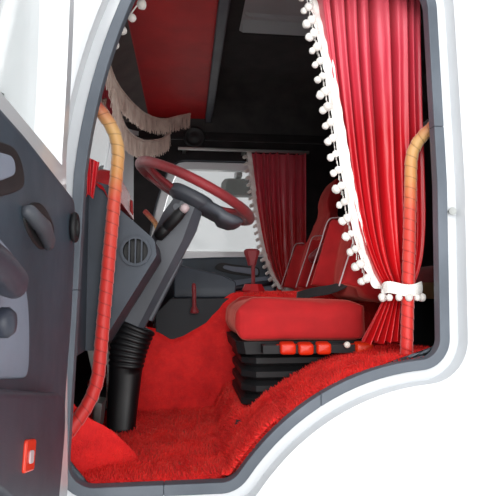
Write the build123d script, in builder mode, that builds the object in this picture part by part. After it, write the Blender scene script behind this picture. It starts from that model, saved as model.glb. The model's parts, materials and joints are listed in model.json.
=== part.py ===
from build123d import *
from math import cos, radians, sin, sqrt, tan
import os

os.makedirs("parts", exist_ok=True)

# Driver's cab of a cab-over truck, taken off its chassis, with its driver's door open.
# X runs rearwards, Y to the cab's right, Z up. The origin is the middle of the tilt axis.

# Body
bottom_z = 90
belt_z = 1040
header_z = 1800
roof_z = 2250
rear_x = 2030
wall = 62
lining = 10
rebate = 50
seam = 6
rear_corner = 110
cut_below = 20

# Height, front, half width, front corner, rear step, share of a skin's thickness taken off the height
cab_sections = (
    (bottom_z, -215, 1200, 250, 0, 0.0),
    (belt_z, -250, 1222, 270, 0, 0.0),
    (header_z, -120, 1180, 250, 0, 0.0),
    (2060, -20, 1155, 230, 0, 0.3),
    (2165, 60, 1100, 200, 20, 0.8),
    (2225, 160, 1000, 170, 70, 1.0),
    (roof_z, 300, 820, 140, 180, 1.0),
)
# Turn of each facet across the nose, and its share of the width between the corners
nose_facets = ((0, 0.25), (3, 0.4), (7, 0.35))
front_corner_facets = 5
rear_corner_facets = 3

# Wheel arches: the opening in the outer panel, and the hump in the floor over it
arch_x = 1125
arch_z = -94
hump_radius = 640
arch_cut_z = -500
arch_cut_radius = 640

# Doorway, in side view
doorway_arch_radius = 655
sill_z = 262
doorway_front_x = 160
doorway_belt_x = 190
doorway_top_front_x = 350
doorway_rear_x = 1132
doorway_top_z = 1650
door_lap = 45
door_skin = 33
door_depth = 60
door_inset = 14
window_margin = 62
window_sill_z = 955
glass = 5

# Door hinges and the angle at which the driver's door stands open
hinge_x = 107
hinge_y = 1233
hinge_heights = (345, 860)
hinge_radius = 11
pin_radius = 5
open_angle = 88
pin_clearance = 0.08

# Floor
floor_z = 250
plate = 36
platform_z = 350
platform_x = 610
riser_run = 40
tunnel_half = 330
tunnel_z = 715
tunnel_front = 330
tunnel_slope = 60
hump_inner = 838
floor_front = -150
soft_gap = 0.3
pile = 14

# Seats
seat_y = 610
seat_width = 490
seat_front_x = 590
seat_length = 470
cushion_z = 585
cushion_height = 138
cushion_fall = 22
back_rake = 15
back_height = 520
back_lap = 60
# Side, owner, and how far each seat is slid back at rest
seats = ((-1, "driver", 0), (1, "passenger", 110))
back_thickness = 118
headrest_width = 270
headrest_height = 240

# Steering
wheel_centre = (481, -620, 1102)
wheel_tilt = 26
wheel_radius = 222
rim_radius = 17
hub_drop = 38
column_length = 470

# Bunk
bunk_x = 1400
bunk_plate = 24
mattress_height = 110

# Dashboard and the shelf over the screen
dash_low_z = 585
dash_top_z = 1026
dash_half = 1032
shelf_front_x = 190
shelf_rear_x = 600
shelf_z = 1935
shelf_header_z = 1822

# Grab rails
rail_radius = 17
rail_y = 1068


def facet_turns(start, count):
    step = (90 - start) / count
    return [start + step * (facet + 0.5) for facet in range(count)]


def section_points(z, front, half, corner, tail, tail_corner):
    # One level's outline on both sides. Every level turns by the same angles, so all facets are flat.
    x, y = front, 0
    outline = []
    for turn, share in nose_facets:
        x += share * (half - corner) * tan(radians(turn))
        y += share * (half - corner)
        outline.append((x, y))
    turns = facet_turns(nose_facets[-1][0], front_corner_facets)
    chord = (half - y) / sum(cos(radians(turn)) for turn in turns)
    for turn in turns:
        x += chord * sin(radians(turn))
        y += chord * cos(radians(turn))
        outline.append((x, y))
    x, y = tail - tail_corner, half
    outline.append((x, y))
    turns = facet_turns(0, rear_corner_facets)
    chord = tail_corner / sum(cos(radians(turn)) for turn in turns)
    for turn in turns:
        x += chord * cos(radians(turn))
        y -= chord * sin(radians(turn))
        outline.append((x, y))
    return [(x, side * y, z) for x, y in outline for side in (-1, 1)]


envelopes = {}


def envelope(inset, run_on=0):
    # The cab's outer form, moved in by an even distance, and run on a little below the body for a cut.
    if (inset, run_on) not in envelopes:
        share = run_on / (belt_z - bottom_z)
        lowest = [low + (low - belt) * share for low, belt in zip(*cab_sections[:2])]
        points = []
        for height, front, half, corner, step, drop in (lowest, *cab_sections[1:]):
            tail = rear_x - inset - step
            points += section_points(
                height - inset * drop, front + inset, half - inset, corner - inset, tail, rear_corner - inset
            )
        with BuildPart() as form:
            ConvexPolyhedron(points)
        envelopes[(inset, run_on)] = form.part
    return envelopes[(inset, run_on)]


def skin(outer, inner, region=None):
    # The layer of the cab between two depths, or what of it lies in a region.
    with BuildPart() as layer:
        add(envelope(outer))
        if region:
            add(region, mode=Mode.INTERSECT)
        add(envelope(inner, cut_below), mode=Mode.SUBTRACT)
    return layer.part


def arch_height(radius, x):
    return arch_z + sqrt(radius**2 - (x - arch_x) ** 2)


def arch_start(radius, z):
    return arch_x - sqrt(radius**2 - (z - arch_z) ** 2)


def doorway(grow, depth=500, window=False):
    # A prism through the left side, as the doorway or the door's window is in side view, grown by a margin.
    arch_foot = arch_start(doorway_arch_radius, sill_z)
    arch_top = arch_height(doorway_arch_radius, doorway_rear_x)
    arch_middle = (arch_foot + doorway_rear_x) / 2 - 60
    with BuildPart() as prism:
        with BuildSketch(Plane.XZ.offset(900)) as face:
            with BuildLine():
                Line((doorway_front_x, sill_z), (arch_foot, sill_z))
                ThreePointArc(
                    (arch_foot, sill_z),
                    (arch_middle, arch_height(doorway_arch_radius, arch_middle)),
                    (doorway_rear_x, arch_top),
                )
                Line((doorway_rear_x, arch_top), (doorway_rear_x, doorway_top_z))
                Line((doorway_rear_x, doorway_top_z), (doorway_top_front_x, doorway_top_z))
                ThreePointArc(
                    (doorway_top_front_x, doorway_top_z),
                    (232, 1310),
                    (doorway_belt_x, belt_z),
                )
                Line((doorway_belt_x, belt_z), (doorway_front_x, sill_z))
            make_face()
            for corner, radius in (
                ((doorway_front_x, sill_z), 70),
                ((arch_foot, sill_z), 60),
                ((doorway_rear_x, arch_top), 62),
                ((doorway_rear_x, doorway_top_z), 100),
                ((doorway_top_front_x, doorway_top_z), 150),
            ):
                fillet(face.vertices().sort_by_distance(corner)[0], radius)
            if window:
                with Locations((700, window_sill_z - 500)):
                    Rectangle(1400, 1000, mode=Mode.SUBTRACT)
                offset(amount=-window_margin, kind=Kind.ARC)
            if grow:
                offset(amount=grow, kind=Kind.ARC)
        extrude(amount=depth)
    return prism.part


def half_space(x=(-400, 2400), y=(-1400, 1400), z=(-400, 2400)):
    # A block that keeps or removes one region of the cab.
    size = [high - low for low, high in (x, y, z)]
    middle = Vector(*[(low + high) / 2 for low, high in (x, y, z)])
    with BuildPart() as block:
        with Locations(middle):
            Box(*size)
    return block.part


def side_profile(points, y, half_width):
    # A prism across the cab from an outline in side view.
    with BuildPart() as prism:
        with BuildSketch(Plane.XZ.offset(-y - half_width)):
            with BuildLine():
                Polyline(*points, close=True)
            make_face()
        extrude(amount=2 * half_width)
    return prism.part


def ring_points(plane, height, length, width, cut):
    # A rectangle with cut corners, at a height over a plane.
    corners = ((length / 2, width / 2 - cut), (length / 2 - cut, width / 2))
    points = [(end * x, side * y, height) for x, y in corners for end in (-1, 1) for side in (-1, 1)]
    return [plane.from_local_coords(Vector(*point)) for point in points]


def bevelled_chain(rings):
    # Each ring joined to the next by flat facets.
    links = [ConvexPolyhedron(lower + upper, mode=Mode.PRIVATE) for lower, upper in zip(rings, rings[1:])]
    with BuildPart() as chain:
        add(links)
    return chain.part


def bevelled_stack(plane, rings):
    # Rings up a plane's axis, each with its height, length, width and corner cut.
    return bevelled_chain([ring_points(plane, *ring) for ring in rings])


def right_hand(part):
    return mirror(part, about=Plane.XZ, mode=Mode.PRIVATE)


def save(part, name):
    part.label = name
    export_step(part, f"parts/{name}.step")


# Cab body: panels cut from one skin
body_skin = skin(0, wall)
lining_skin = skin(wall, wall + lining)
behind_rebate = envelope(rebate, cut_below)
inner_space = envelope(wall + lining, cut_below)
inner_wall = envelope(wall, cut_below)

with BuildPart() as door_rebate:
    add(doorway(door_lap + seam))
    add(behind_rebate, mode=Mode.SUBTRACT)

screen_half_low = 1010
screen_half_high = 960
screen_low_z = belt_z + 4
screen_high_z = header_z - 4
with BuildPart() as screen_prism:
    with BuildSketch(Plane.YZ.offset(-400)) as screen_face:
        with BuildLine():
            Polyline(
                (-screen_half_low, screen_low_z),
                (screen_half_low, screen_low_z),
                (screen_half_high, screen_high_z),
                (-screen_half_high, screen_high_z),
                close=True,
            )
        make_face()
        fillet(screen_face.vertices(), 70)
    extrude(amount=520)

with BuildPart() as wheel_arches_cut:
    with BuildSketch(Plane.XZ.offset(-1400)):
        with Locations((arch_x, arch_cut_z)):
            Circle(arch_cut_radius)
    extrude(amount=2800)

front_half = 905
rear_wall_x = rear_x - wall - 40
locker_x = 1690
locker_z = 470
with BuildPart() as side_wall_left:
    add(body_skin)
    add(half_space(x=(-400, rear_wall_x), y=(-1400, -300), z=(0, header_z)), mode=Mode.INTERSECT)
    add(half_space(x=(-400, 90), y=(-front_half, 0), z=(0, 2400)), mode=Mode.SUBTRACT)
    add(wheel_arches_cut.part, mode=Mode.SUBTRACT)
    add(screen_prism.part, mode=Mode.SUBTRACT)
    add(door_rebate.part, mode=Mode.SUBTRACT)
    add(doorway(0), mode=Mode.SUBTRACT)
    with BuildSketch(Plane.XZ.offset(1190)):
        with Locations((locker_x, locker_z)):
            RectangleRounded(400, 300, 30)
            RectangleRounded(376, 276, 22, mode=Mode.SUBTRACT)
    extrude(amount=60, mode=Mode.SUBTRACT)
save(side_wall_left.part, "side_wall_left")
save(right_hand(side_wall_left.part), "side_wall_right")

swage_pitch = 250
swage_width = 110
swage_depth = 14
with BuildPart() as rear_wall:
    add(body_skin)
    add(half_space(x=(rear_wall_x, 2400), z=(0, header_z)), mode=Mode.INTERSECT)
    with BuildSketch(Plane.XY.offset(360)):
        with Locations(Location((rear_x, 0, 0), (0, 0, 1), 90)):
            with GridLocations(swage_pitch, 0, 7, 1):
                Trapezoid(swage_width, 2 * swage_depth, 60)
    extrude(amount=1250, mode=Mode.SUBTRACT)
save(rear_wall.part, "rear_wall")

front_wall_depth = 40
panel_skin = 26
with BuildPart() as front_wall:
    add(skin(front_wall_depth, wall, half_space(x=(-400, 90), y=(-front_half, front_half), z=(0, belt_z))))
    for batten_y in (-790, 790):
        batten = half_space(x=(-400, 90), y=(batten_y - 20, batten_y + 20), z=(bottom_z, belt_z - 20))
        add(skin(panel_skin + soft_gap, front_wall_depth + 1, batten))
save(front_wall.part, "front_wall")

# Outer front panel with its air slots, widening upwards
slot_count = 7
slot_height = 34
slot_pitch = 62
slot_width = 1240
slot_growth = 40
slot_low_z = 240
with BuildPart() as front_panel:
    panel_half = front_half - seam
    panel_block = half_space(x=(-400, 90), y=(-panel_half, panel_half), z=(bottom_z, belt_z - seam))
    add(skin(0, panel_skin, panel_block))
    with BuildSketch(Plane.YZ.offset(-400)):
        for row in range(slot_count):
            with Locations((0, slot_low_z + row * slot_pitch)):
                Trapezoid(slot_width + slot_growth * row, slot_height, 70)
    extrude(amount=520, mode=Mode.SUBTRACT)
save(front_panel.part, "front_panel")

with BuildPart() as windscreen:
    add(skin(12, 12 + glass, screen_prism.part))
save(windscreen.part, "windscreen")

# Roof with its pressed ribs, and a hatch on a raised collar
hatch_x = 1010
hatch_length = 560
hatch_width = 640
collar_height = 16
collar_width = 30
hatch_lid_z = roof_z + collar_height + soft_gap
hatch_hinge_x = hatch_x - hatch_length / 2 - 56
hatch_hinge_z = hatch_lid_z + 9
hatch_hinge_y = 200
hatch_knuckle = 8
hatch_pin = 4
knuckle_length = 60
hatch_hole = bevelled_stack(Plane(origin=(hatch_x, 0, roof_z)), (
    (-180, hatch_length, hatch_width, 24),
    (100, hatch_length, hatch_width, 24),
))
with BuildPart() as roof_shell:
    add(body_skin)
    add(half_space(z=(header_z, 2400)), mode=Mode.INTERSECT)
    with BuildSketch(Plane.YZ.offset(420)):
        for rib_y in (-620, -470, 470, 620):
            with Locations((rib_y, roof_z)):
                Trapezoid(70, 24, 60)
    extrude(amount=1300)
    add(bevelled_stack(Plane(origin=(hatch_x, 0, roof_z)), (
        (-30, hatch_length + 2 * collar_width, hatch_width + 2 * collar_width, 30),
        (collar_height, hatch_length + 2 * collar_width, hatch_width + 2 * collar_width, 30),
    )))
    add(hatch_hole, mode=Mode.SUBTRACT)
    lug_y = hatch_hinge_y + knuckle_length / 2 + 6
    for side in (-1, 1):
        with Locations(Location((hatch_hinge_x, side * lug_y, hatch_hinge_z), (1, 0, 0), 90)):
            Cylinder(hatch_knuckle, 10)
        with Locations((hatch_hinge_x, side * lug_y, (hatch_hinge_z + roof_z) / 2 - 3)):
            Box(2 * hatch_knuckle, 10, hatch_hinge_z - roof_z + 6)
        with Locations(Location((hatch_hinge_x, side * (hatch_hinge_y + 8), hatch_hinge_z), (1, 0, 0), 90)):
            Cylinder(hatch_pin, knuckle_length)
save(roof_shell.part, "roof_shell")

with BuildPart() as hatch_lid:
    hatch_plane = Plane(origin=(hatch_x, 0, hatch_lid_z))
    add(bevelled_stack(hatch_plane, (
        (0, hatch_length + 90, hatch_width + 90, 40),
        (18, hatch_length + 90, hatch_width + 90, 40),
        (30, hatch_length + 66, hatch_width + 66, 34),
    )))
    add(bevelled_stack(hatch_plane, (
        (-10, hatch_length - 60, hatch_width - 60, 24),
        (20, hatch_length - 60, hatch_width - 60, 24),
    )), mode=Mode.SUBTRACT)
    for side in (-1, 1):
        with Locations((hatch_hinge_x + 12, side * hatch_hinge_y, hatch_hinge_z)):
            Box(24, knuckle_length, 2 * hatch_knuckle)
        with Locations(Location((hatch_hinge_x, side * hatch_hinge_y, hatch_hinge_z), (1, 0, 0), 90)):
            Cylinder(hatch_knuckle, knuckle_length)
            Cylinder(hatch_pin + pin_clearance, knuckle_length, mode=Mode.SUBTRACT)
save(hatch_lid.part, "hatch_lid")

with BuildPart() as wall_lining:
    add(lining_skin)
    add(half_space(x=(90, 2400), z=(300, header_z)), mode=Mode.INTERSECT)
    add(screen_prism.part, mode=Mode.SUBTRACT)
    add(doorway(0), mode=Mode.SUBTRACT)
    add(right_hand(doorway(0)), mode=Mode.SUBTRACT)
save(wall_lining.part, "wall_lining")

with BuildPart() as headliner:
    add(lining_skin)
    add(half_space(z=(header_z + 30, 2400)), mode=Mode.INTERSECT)
    add(hatch_hole, mode=Mode.SUBTRACT)
save(headliner.part, "headliner")

# Rubber seals round both doorways
seal_lap = 22
seal_lip = 6
seal_height = 12
seal_joint_gap = 0.4
# Where the lengths of seal meet: X, Z, width, height
seal_joints = (
    (400, sill_z, seal_joint_gap, 200),
    (800, 500, seal_joint_gap, 200),
    (doorway_rear_x, 1200, 200, seal_joint_gap),
    (700, doorway_top_z, seal_joint_gap, 200),
    (170, 750, 200, seal_joint_gap),
)
seal_face = envelope(rebate - seal_height, cut_below)
with BuildPart() as seal_band:
    add(doorway(seal_lap))
    add(behind_rebate, mode=Mode.SUBTRACT)
    add(seal_face, mode=Mode.INTERSECT)
with BuildPart() as seal_lip_band:
    add(doorway(0))
    add(seal_face, mode=Mode.INTERSECT)
    add(inner_space, mode=Mode.SUBTRACT)
with BuildPart() as door_seals:
    add(seal_band.part)
    add(seal_lip_band.part)
    add(doorway(-seal_lip), mode=Mode.SUBTRACT)
    for joint_x, joint_z, width, height in seal_joints:
        with Locations((joint_x, -1200, joint_z)):
            Box(width, 300, height, mode=Mode.SUBTRACT)
    mirror(about=Plane.XZ)
save(door_seals.part, "door_seals")

# Door hardware on the body: strikers, and hinge knuckles with their pins
striker_z = 963
striker_x = doorway_rear_x + 34
striker_y = cab_sections[1][2] - rebate
knuckle_height = 40
with BuildPart() as door_hardware:
    for hinge_z in hinge_heights:
        with BuildSketch(Plane.XY.offset(hinge_z + 1 - knuckle_height)):
            with Locations((hinge_x, -hinge_y)):
                RegularPolygon(hinge_radius + 1, 8)
        extrude(amount=knuckle_height)
        with Locations((hinge_x - 28, -hinge_y + 20, hinge_z - knuckle_height / 2 + 1)):
            Box(44, 40, knuckle_height)
        with Locations((hinge_x, -hinge_y, hinge_z + knuckle_height / 2)):
            Cylinder(pin_radius, knuckle_height + 2)
    add(envelope(0), mode=Mode.SUBTRACT)
    for radius, start, length in ((7, -2, 13), (11, 11, 3)):
        with BuildSketch(Plane.XZ.offset(striker_y + start)):
            with Locations((striker_x, striker_z)):
                RegularPolygon(radius, 12)
        extrude(amount=length)
    add(behind_rebate, mode=Mode.SUBTRACT)
    mirror(about=Plane.XZ)
save(door_hardware.part, "door_hardware")

# Floor: footwell pan, riser and seat platforms in one pressing, with tunnel and wheel humps welded in
with BuildPart() as hump_solid:
    with BuildSketch(Plane.XZ.offset(-1300)):
        with Locations((arch_x, arch_z)):
            Circle(hump_radius)
    extrude(amount=2600)
    add(half_space(y=(-hump_inner, hump_inner)), mode=Mode.SUBTRACT)
    add(half_space(z=(floor_z - plate, 2400)), mode=Mode.INTERSECT)

with BuildPart() as tunnel_solid:
    with BuildSketch(Plane.XZ.offset(-tunnel_half)):
        with BuildLine():
            Polyline(
                (tunnel_front, floor_z - plate),
                (tunnel_front, tunnel_z - tunnel_slope),
                (tunnel_front + tunnel_slope, tunnel_z),
                (rear_x, tunnel_z),
                (rear_x, floor_z - plate),
                close=True,
            )
        make_face()
    extrude(amount=2 * tunnel_half)

lined_out = skin(wall, wall + lining, half_space(x=(90, 2400), z=(300, header_z)))
riser_points = (
    (platform_x - riser_run, floor_z),
    (platform_x, platform_z),
    (rear_x, platform_z),
    (rear_x, platform_z - plate),
    (platform_x + plate * 0.7, platform_z - plate),
    (platform_x - riser_run + plate * 0.7, floor_z - plate),
    (floor_front, floor_z - plate),
    (floor_front, floor_z),
)
riser_cheek_points = (
    (platform_x - riser_run, floor_z - plate),
    (platform_x - riser_run, floor_z),
    (platform_x, platform_z),
    (platform_x + 100, platform_z),
    (platform_x + 100, floor_z - plate),
)
arch_front_x = arch_start(hump_radius - plate / 2, floor_z)
arch_rear_x = 2 * arch_x - arch_start(hump_radius - plate / 2, platform_z)
with BuildPart() as floor_pan:
    add(side_profile(riser_points, 0, hump_inner + plate))
    for side in (-1, 1):
        add(side_profile(riser_cheek_points, side * (hump_inner + plate / 2), plate / 2))
    add(half_space(x=(floor_front, arch_front_x), y=(-1300, 1300), z=(floor_z - plate, floor_z)))
    add(half_space(x=(arch_rear_x, rear_x), y=(-1300, 1300), z=(platform_z - plate, platform_z)))
    add(hump_solid.part, mode=Mode.SUBTRACT)
    add(tunnel_solid.part, mode=Mode.SUBTRACT)
    add(inner_wall, mode=Mode.INTERSECT)
    add(lined_out, mode=Mode.SUBTRACT)
save(floor_pan.part, "floor_pan")

with BuildPart() as engine_tunnel:
    add(tunnel_solid.part)
    with BuildSketch(Plane.XZ.offset(-tunnel_half + plate)):
        with BuildLine():
            Polyline(
                (tunnel_front + plate, 0),
                (tunnel_front + plate, tunnel_z - tunnel_slope - plate / 2),
                (tunnel_front + tunnel_slope + plate / 2, tunnel_z - plate),
                (rear_x + 10, tunnel_z - plate),
                (rear_x + 10, 0),
                close=True,
            )
        make_face()
    extrude(amount=2 * (tunnel_half - plate), mode=Mode.SUBTRACT)
    add(inner_wall, mode=Mode.INTERSECT)
    add(lined_out, mode=Mode.SUBTRACT)
save(engine_tunnel.part, "engine_tunnel")

with BuildPart() as arch_hollow:
    with BuildSketch(Plane.XZ.offset(-1300)):
        with Locations((arch_x, arch_z)):
            Circle(hump_radius - plate)
    extrude(amount=2600)
    add(half_space(y=(-hump_inner - plate, hump_inner + plate)), mode=Mode.SUBTRACT)
with BuildPart() as wheel_humps:
    add(hump_solid.part)
    add(arch_hollow.part, mode=Mode.SUBTRACT)
    add(inner_wall, mode=Mode.INTERSECT)
    add(lined_out, mode=Mode.SUBTRACT)
save(wheel_humps.part, "wheel_humps")

# Underframe: two channel rails with the tilt brackets, cross members, and latch feet at the rear
pivot_y = 420
pivot_bore = 20
pivot_wall = 16
pivot_length = 60
frame_rail_width = 70
frame_rail_height = 90
rail_front_x = -110
rail_rear_x = 560
floor_under = floor_z - plate
foot_bolt_pitch = 90
foot_bolt = 7
foot_y = 560
rear_beam_x = 1860
platform_under = platform_z - plate
with BuildPart() as underframe:
    for side in (-1, 1):
        with BuildSketch(Plane.YZ.offset(rail_front_x)):
            with Locations((side * pivot_y, floor_under - frame_rail_height / 2)):
                Rectangle(frame_rail_width, frame_rail_height)
            with Locations((side * (pivot_y + 6), floor_under - frame_rail_height / 2)):
                Rectangle(frame_rail_width - 12, frame_rail_height - 24, mode=Mode.SUBTRACT)
        extrude(amount=rail_rear_x - rail_front_x)
        with BuildSketch(Plane.XZ.offset(side * pivot_y - pivot_length / 2)):
            with BuildLine():
                Polyline((-75, floor_under - 60), (75, floor_under - 60), (36, 0), (-36, 0), close=True)
            make_face()
            Circle(pivot_bore + pivot_wall)
        extrude(amount=pivot_length)
    for cross_x in (rail_front_x + 40, 190):
        with Locations((cross_x, 0, floor_under - 35)):
            Box(80, 2 * pivot_y - frame_rail_width, 70)
    with BuildSketch(Plane.XZ.offset(-1000)):
        Circle(pivot_bore)
    extrude(amount=2000, mode=Mode.SUBTRACT)
    for side in (-1, 1):
        with Locations((rear_beam_x, side * foot_y, platform_under - 40)):
            Box(90, 420, 80)
        with BuildSketch(Plane.XZ.offset(-side * foot_y - 65)):
            with BuildLine():
                Polyline(
                    (rear_beam_x - 45, platform_under - 80),
                    (rear_beam_x + 45, platform_under - 80),
                    (rear_beam_x + 75, platform_under - 116),
                    (rear_beam_x + 75, platform_under - 140),
                    (rear_beam_x - 75, platform_under - 140),
                    (rear_beam_x - 75, platform_under - 116),
                    close=True,
                )
            make_face()
        extrude(amount=130)
        with BuildSketch(Plane.XY.offset(platform_under - 200)):
            with Locations((rear_beam_x, side * foot_y)):
                with GridLocations(foot_bolt_pitch, 0, 2, 1):
                    Circle(foot_bolt)
        extrude(amount=110, mode=Mode.SUBTRACT)
save(underframe.part, "underframe")

# Entry steps under the doors: cranked side plates with two slotted treads
step_front_x = 170
step_rear_x = 520
step_plate = 16
step_y = (980, 1190)
step_levels = (-90, -330)
step_foot_z = -350
step_middle_x = (step_front_x + step_rear_x) / 2
with BuildPart() as entry_steps:
    for end_x, lean in ((step_front_x, -1), (step_rear_x - step_plate, 1)):
        with BuildSketch(Plane.YZ.offset(end_x)):
            with BuildLine():
                Polyline(
                    (-step_y[0], bottom_z),
                    (-step_y[1] + 30, bottom_z),
                    (-step_y[1] + 20, step_levels[0] + 40),
                    (-step_y[1], step_levels[0]),
                    (-step_y[1], step_foot_z),
                    (-step_y[0] - 40, step_foot_z),
                    (-step_y[0], step_levels[0]),
                    close=True,
                )
            make_face()
        extrude(amount=step_plate)
    for level in step_levels:
        with Locations((step_middle_x, -(step_y[0] + step_y[1]) / 2 - 20, level)):
            Box(step_rear_x - step_front_x, step_y[1] - step_y[0] - 40, 26)
            with GridLocations(64, 0, 4, 1):
                Box(30, 90, 30, mode=Mode.SUBTRACT)
    mirror(about=Plane.XZ)
save(entry_steps.part, "entry_steps")

# Doors, built shut and then turned to their place
handle_x = 960
handle_z = 905
with BuildPart() as door_knuckles:
    for hinge_z in hinge_heights:
        with BuildSketch(Plane.XY.offset(hinge_z + 2)):
            with Locations((hinge_x, -hinge_y)):
                RegularPolygon(hinge_radius + 1, 8)
        extrude(amount=knuckle_height)
        with Locations((hinge_x + 38, -hinge_y + 20, hinge_z + knuckle_height / 2 + 2)):
            Box(64, 40, knuckle_height)
        with Locations((hinge_x, -hinge_y, hinge_z + knuckle_height / 2 + 2)):
            Cylinder(pin_radius + pin_clearance, knuckle_height + 20, mode=Mode.SUBTRACT)
    add(envelope(0), mode=Mode.SUBTRACT)
with BuildPart() as door_shell:
    add(skin(0, door_skin, doorway(door_lap)))
    add(skin(door_skin, door_depth, doorway(-door_inset)))
    add(doorway(0, window=True), mode=Mode.SUBTRACT)
    with BuildSketch(Plane.XZ.offset(1196)):
        with Locations((handle_x, handle_z)):
            RectangleRounded(190, 80, 20)
            Rectangle(150, 18, mode=Mode.SUBTRACT)
    extrude(amount=60, mode=Mode.SUBTRACT)
    add(door_knuckles.part)
    for hinge_z in hinge_heights:
        with Locations((hinge_x + 58, -hinge_y + 26, hinge_z + knuckle_height / 2 + 2)):
            Box(24, 40, knuckle_height)

with BuildPart() as door_glass:
    add(skin(16, 16 + glass, doorway(0, window=True)))

# Inner trim of a door: a moulded panel with raised fields, an armrest and sunk cups
trim_depth = 18
trim_back = 16
trim_back_y = cab_sections[1][2] - door_depth + 10
trim_outline = (
    (150, 560), (182, 420), (284, 352), (1150, 352), (1150, 986), (628, 977), (158, 958), (112, 845),
)
# Outline of each raised field, and how far it stands from the door
trim_fields = (
    ("upper roll", ((188, 858), (470, 880), (1060, 872), (1060, 940), (628, 940), (196, 930)), 34),
    ("insert", ((470, 600), (1060, 700), (1060, 850), (640, 846), (500, 790), (444, 732)), 26),
    ("armrest", ((560, 700), (620, 762), (1020, 800), (1020, 716), (760, 690)), 72),
    ("lower roll", ((300, 392), (470, 372), (700, 470), (740, 600), (360, 556), (276, 470)), 30),
)
trim_cups = (
    ("release", ((463, 812), (520, 792), (604, 860), (596, 900), (548, 912), (474, 872)), 8),
    ("pull", ((652, 905), (704, 892), (728, 918), (700, 928), (662, 928)), 14),
)
with BuildPart() as door_trim:
    for field, outline, stand in (("panel", trim_outline, trim_depth), *trim_fields):
        add(side_profile(outline, -trim_back_y, stand + trim_back))
    for cup, outline, cup_depth in trim_cups:
        cup_y = -trim_back_y + trim_back + trim_depth - cup_depth + 50
        add(side_profile(outline, cup_y, 50), mode=Mode.SUBTRACT)
    add(doorway(-door_inset - 14), mode=Mode.INTERSECT)
    add(envelope(door_depth), mode=Mode.INTERSECT)

left_hinge_axis = Axis((hinge_x, -hinge_y, 0), (0, 0, 1))
for piece, name in (
    (door_shell.part, "door_shell"),
    (door_glass.part, "door_glass"),
    (door_trim.part, "door_trim"),
):
    save(right_hand(piece), f"{name}_right")
    save(piece.rotate(left_hinge_axis, -open_angle), f"{name}_left")

# Dashboard across the cab, with corner pods at the pillars and a round vent in each end
dash_nose = ((368, 846), (362, 890))
vent_x = 310
vent_z = 858
vent_radius = 43
column_notch = (-730, -510)
with BuildPart() as dashboard:
    with BuildSketch(Plane.XZ.offset(-1200)) as dash_profile:
        with BuildLine():
            Polyline(
                (-200, dash_low_z),
                (212, dash_low_z),
                *dash_nose,
                (206, dash_top_z),
                (-200, dash_top_z),
                close=True,
            )
        make_face()
        fillet(dash_profile.vertices().sort_by_distance(dash_nose[0])[0], 14)
        fillet(dash_profile.vertices().sort_by_distance(dash_nose[1])[0], 30)
        fillet(dash_profile.vertices().sort_by_distance((206, dash_top_z))[0], 60)
    extrude(amount=2400)
    for side in (-1, 1):
        pod_points = (
            (100, dash_top_z - 20),
            (262, dash_top_z - 70),
            (250, 1040),
            (222, 1114),
            (196, 1170),
            (100, 1170),
        )
        add(side_profile(pod_points, side * (dash_half - 36), 36))
    add(inner_space, mode=Mode.INTERSECT)
    for side in (-1, 1):
        cut_y = sorted((side * dash_half, side * 1300))
        add(half_space(x=(180, 420), y=cut_y), mode=Mode.SUBTRACT)
        vent_plane = Plane(origin=(vent_x, side * dash_half, vent_z), x_dir=(1, 0, 0), z_dir=(0, side, 0))
        with BuildSketch(vent_plane):
            Circle(vent_radius)
        extrude(amount=7)
        with BuildSketch(vent_plane.offset(7)):
            Circle(vent_radius - 9)
            with GridLocations(17, 0, 3, 1):
                Rectangle(5, 2 * vent_radius, mode=Mode.SUBTRACT)
        extrude(amount=-20, mode=Mode.SUBTRACT)
    add(half_space(x=(160, 420), y=column_notch), mode=Mode.SUBTRACT)
    add(half_space(x=(-400, 120), y=(-1000, 1000), z=(dash_low_z - 10, 960)), mode=Mode.SUBTRACT)
save(dashboard.part, "dashboard")

binnacle_plane = Plane(origin=(178, wheel_centre[1], dash_top_z + soft_gap))
with BuildPart() as binnacle:
    add(bevelled_stack(binnacle_plane, (
        (0, 130, 470, 20), (70, 124, 450, 30), (104, 96, 380, 30), (116, 60, 330, 26),
    )))
    add(half_space(x=(232, 400), y=(-810, -430), z=(dash_top_z + 16, dash_top_z + 92)), mode=Mode.SUBTRACT)
save(binnacle.part, "binnacle")

console_z = tunnel_z + soft_gap
console_y = 210
with BuildPart() as centre_console:
    with BuildSketch(Plane.XZ.offset(-console_y)) as console_profile:
        with BuildLine():
            Polyline(
                (398, console_z),
                (664, console_z),
                (672, console_z + 70),
                (612, console_z + 100),
                (398, console_z + 150),
                close=True,
            )
        make_face()
        fillet(console_profile.vertices().sort_by_distance((672, console_z + 70))[0], 20)
    extrude(amount=2 * console_y)
    with BuildSketch(Plane.YZ.offset(380)):
        with BuildLine():
            Polyline(
                (-console_y, console_z),
                (console_y, console_z),
                (console_y, console_z + 40),
                (console_y - 34, console_z + 160),
                (-console_y + 34, console_z + 160),
                (-console_y, console_z + 40),
                close=True,
            )
        make_face()
    extrude(amount=320, mode=Mode.INTERSECT)
    with Locations((520, -70, console_z + 150)):
        Box(150, 110, 60, mode=Mode.SUBTRACT)
save(centre_console.part, "centre_console")

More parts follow.
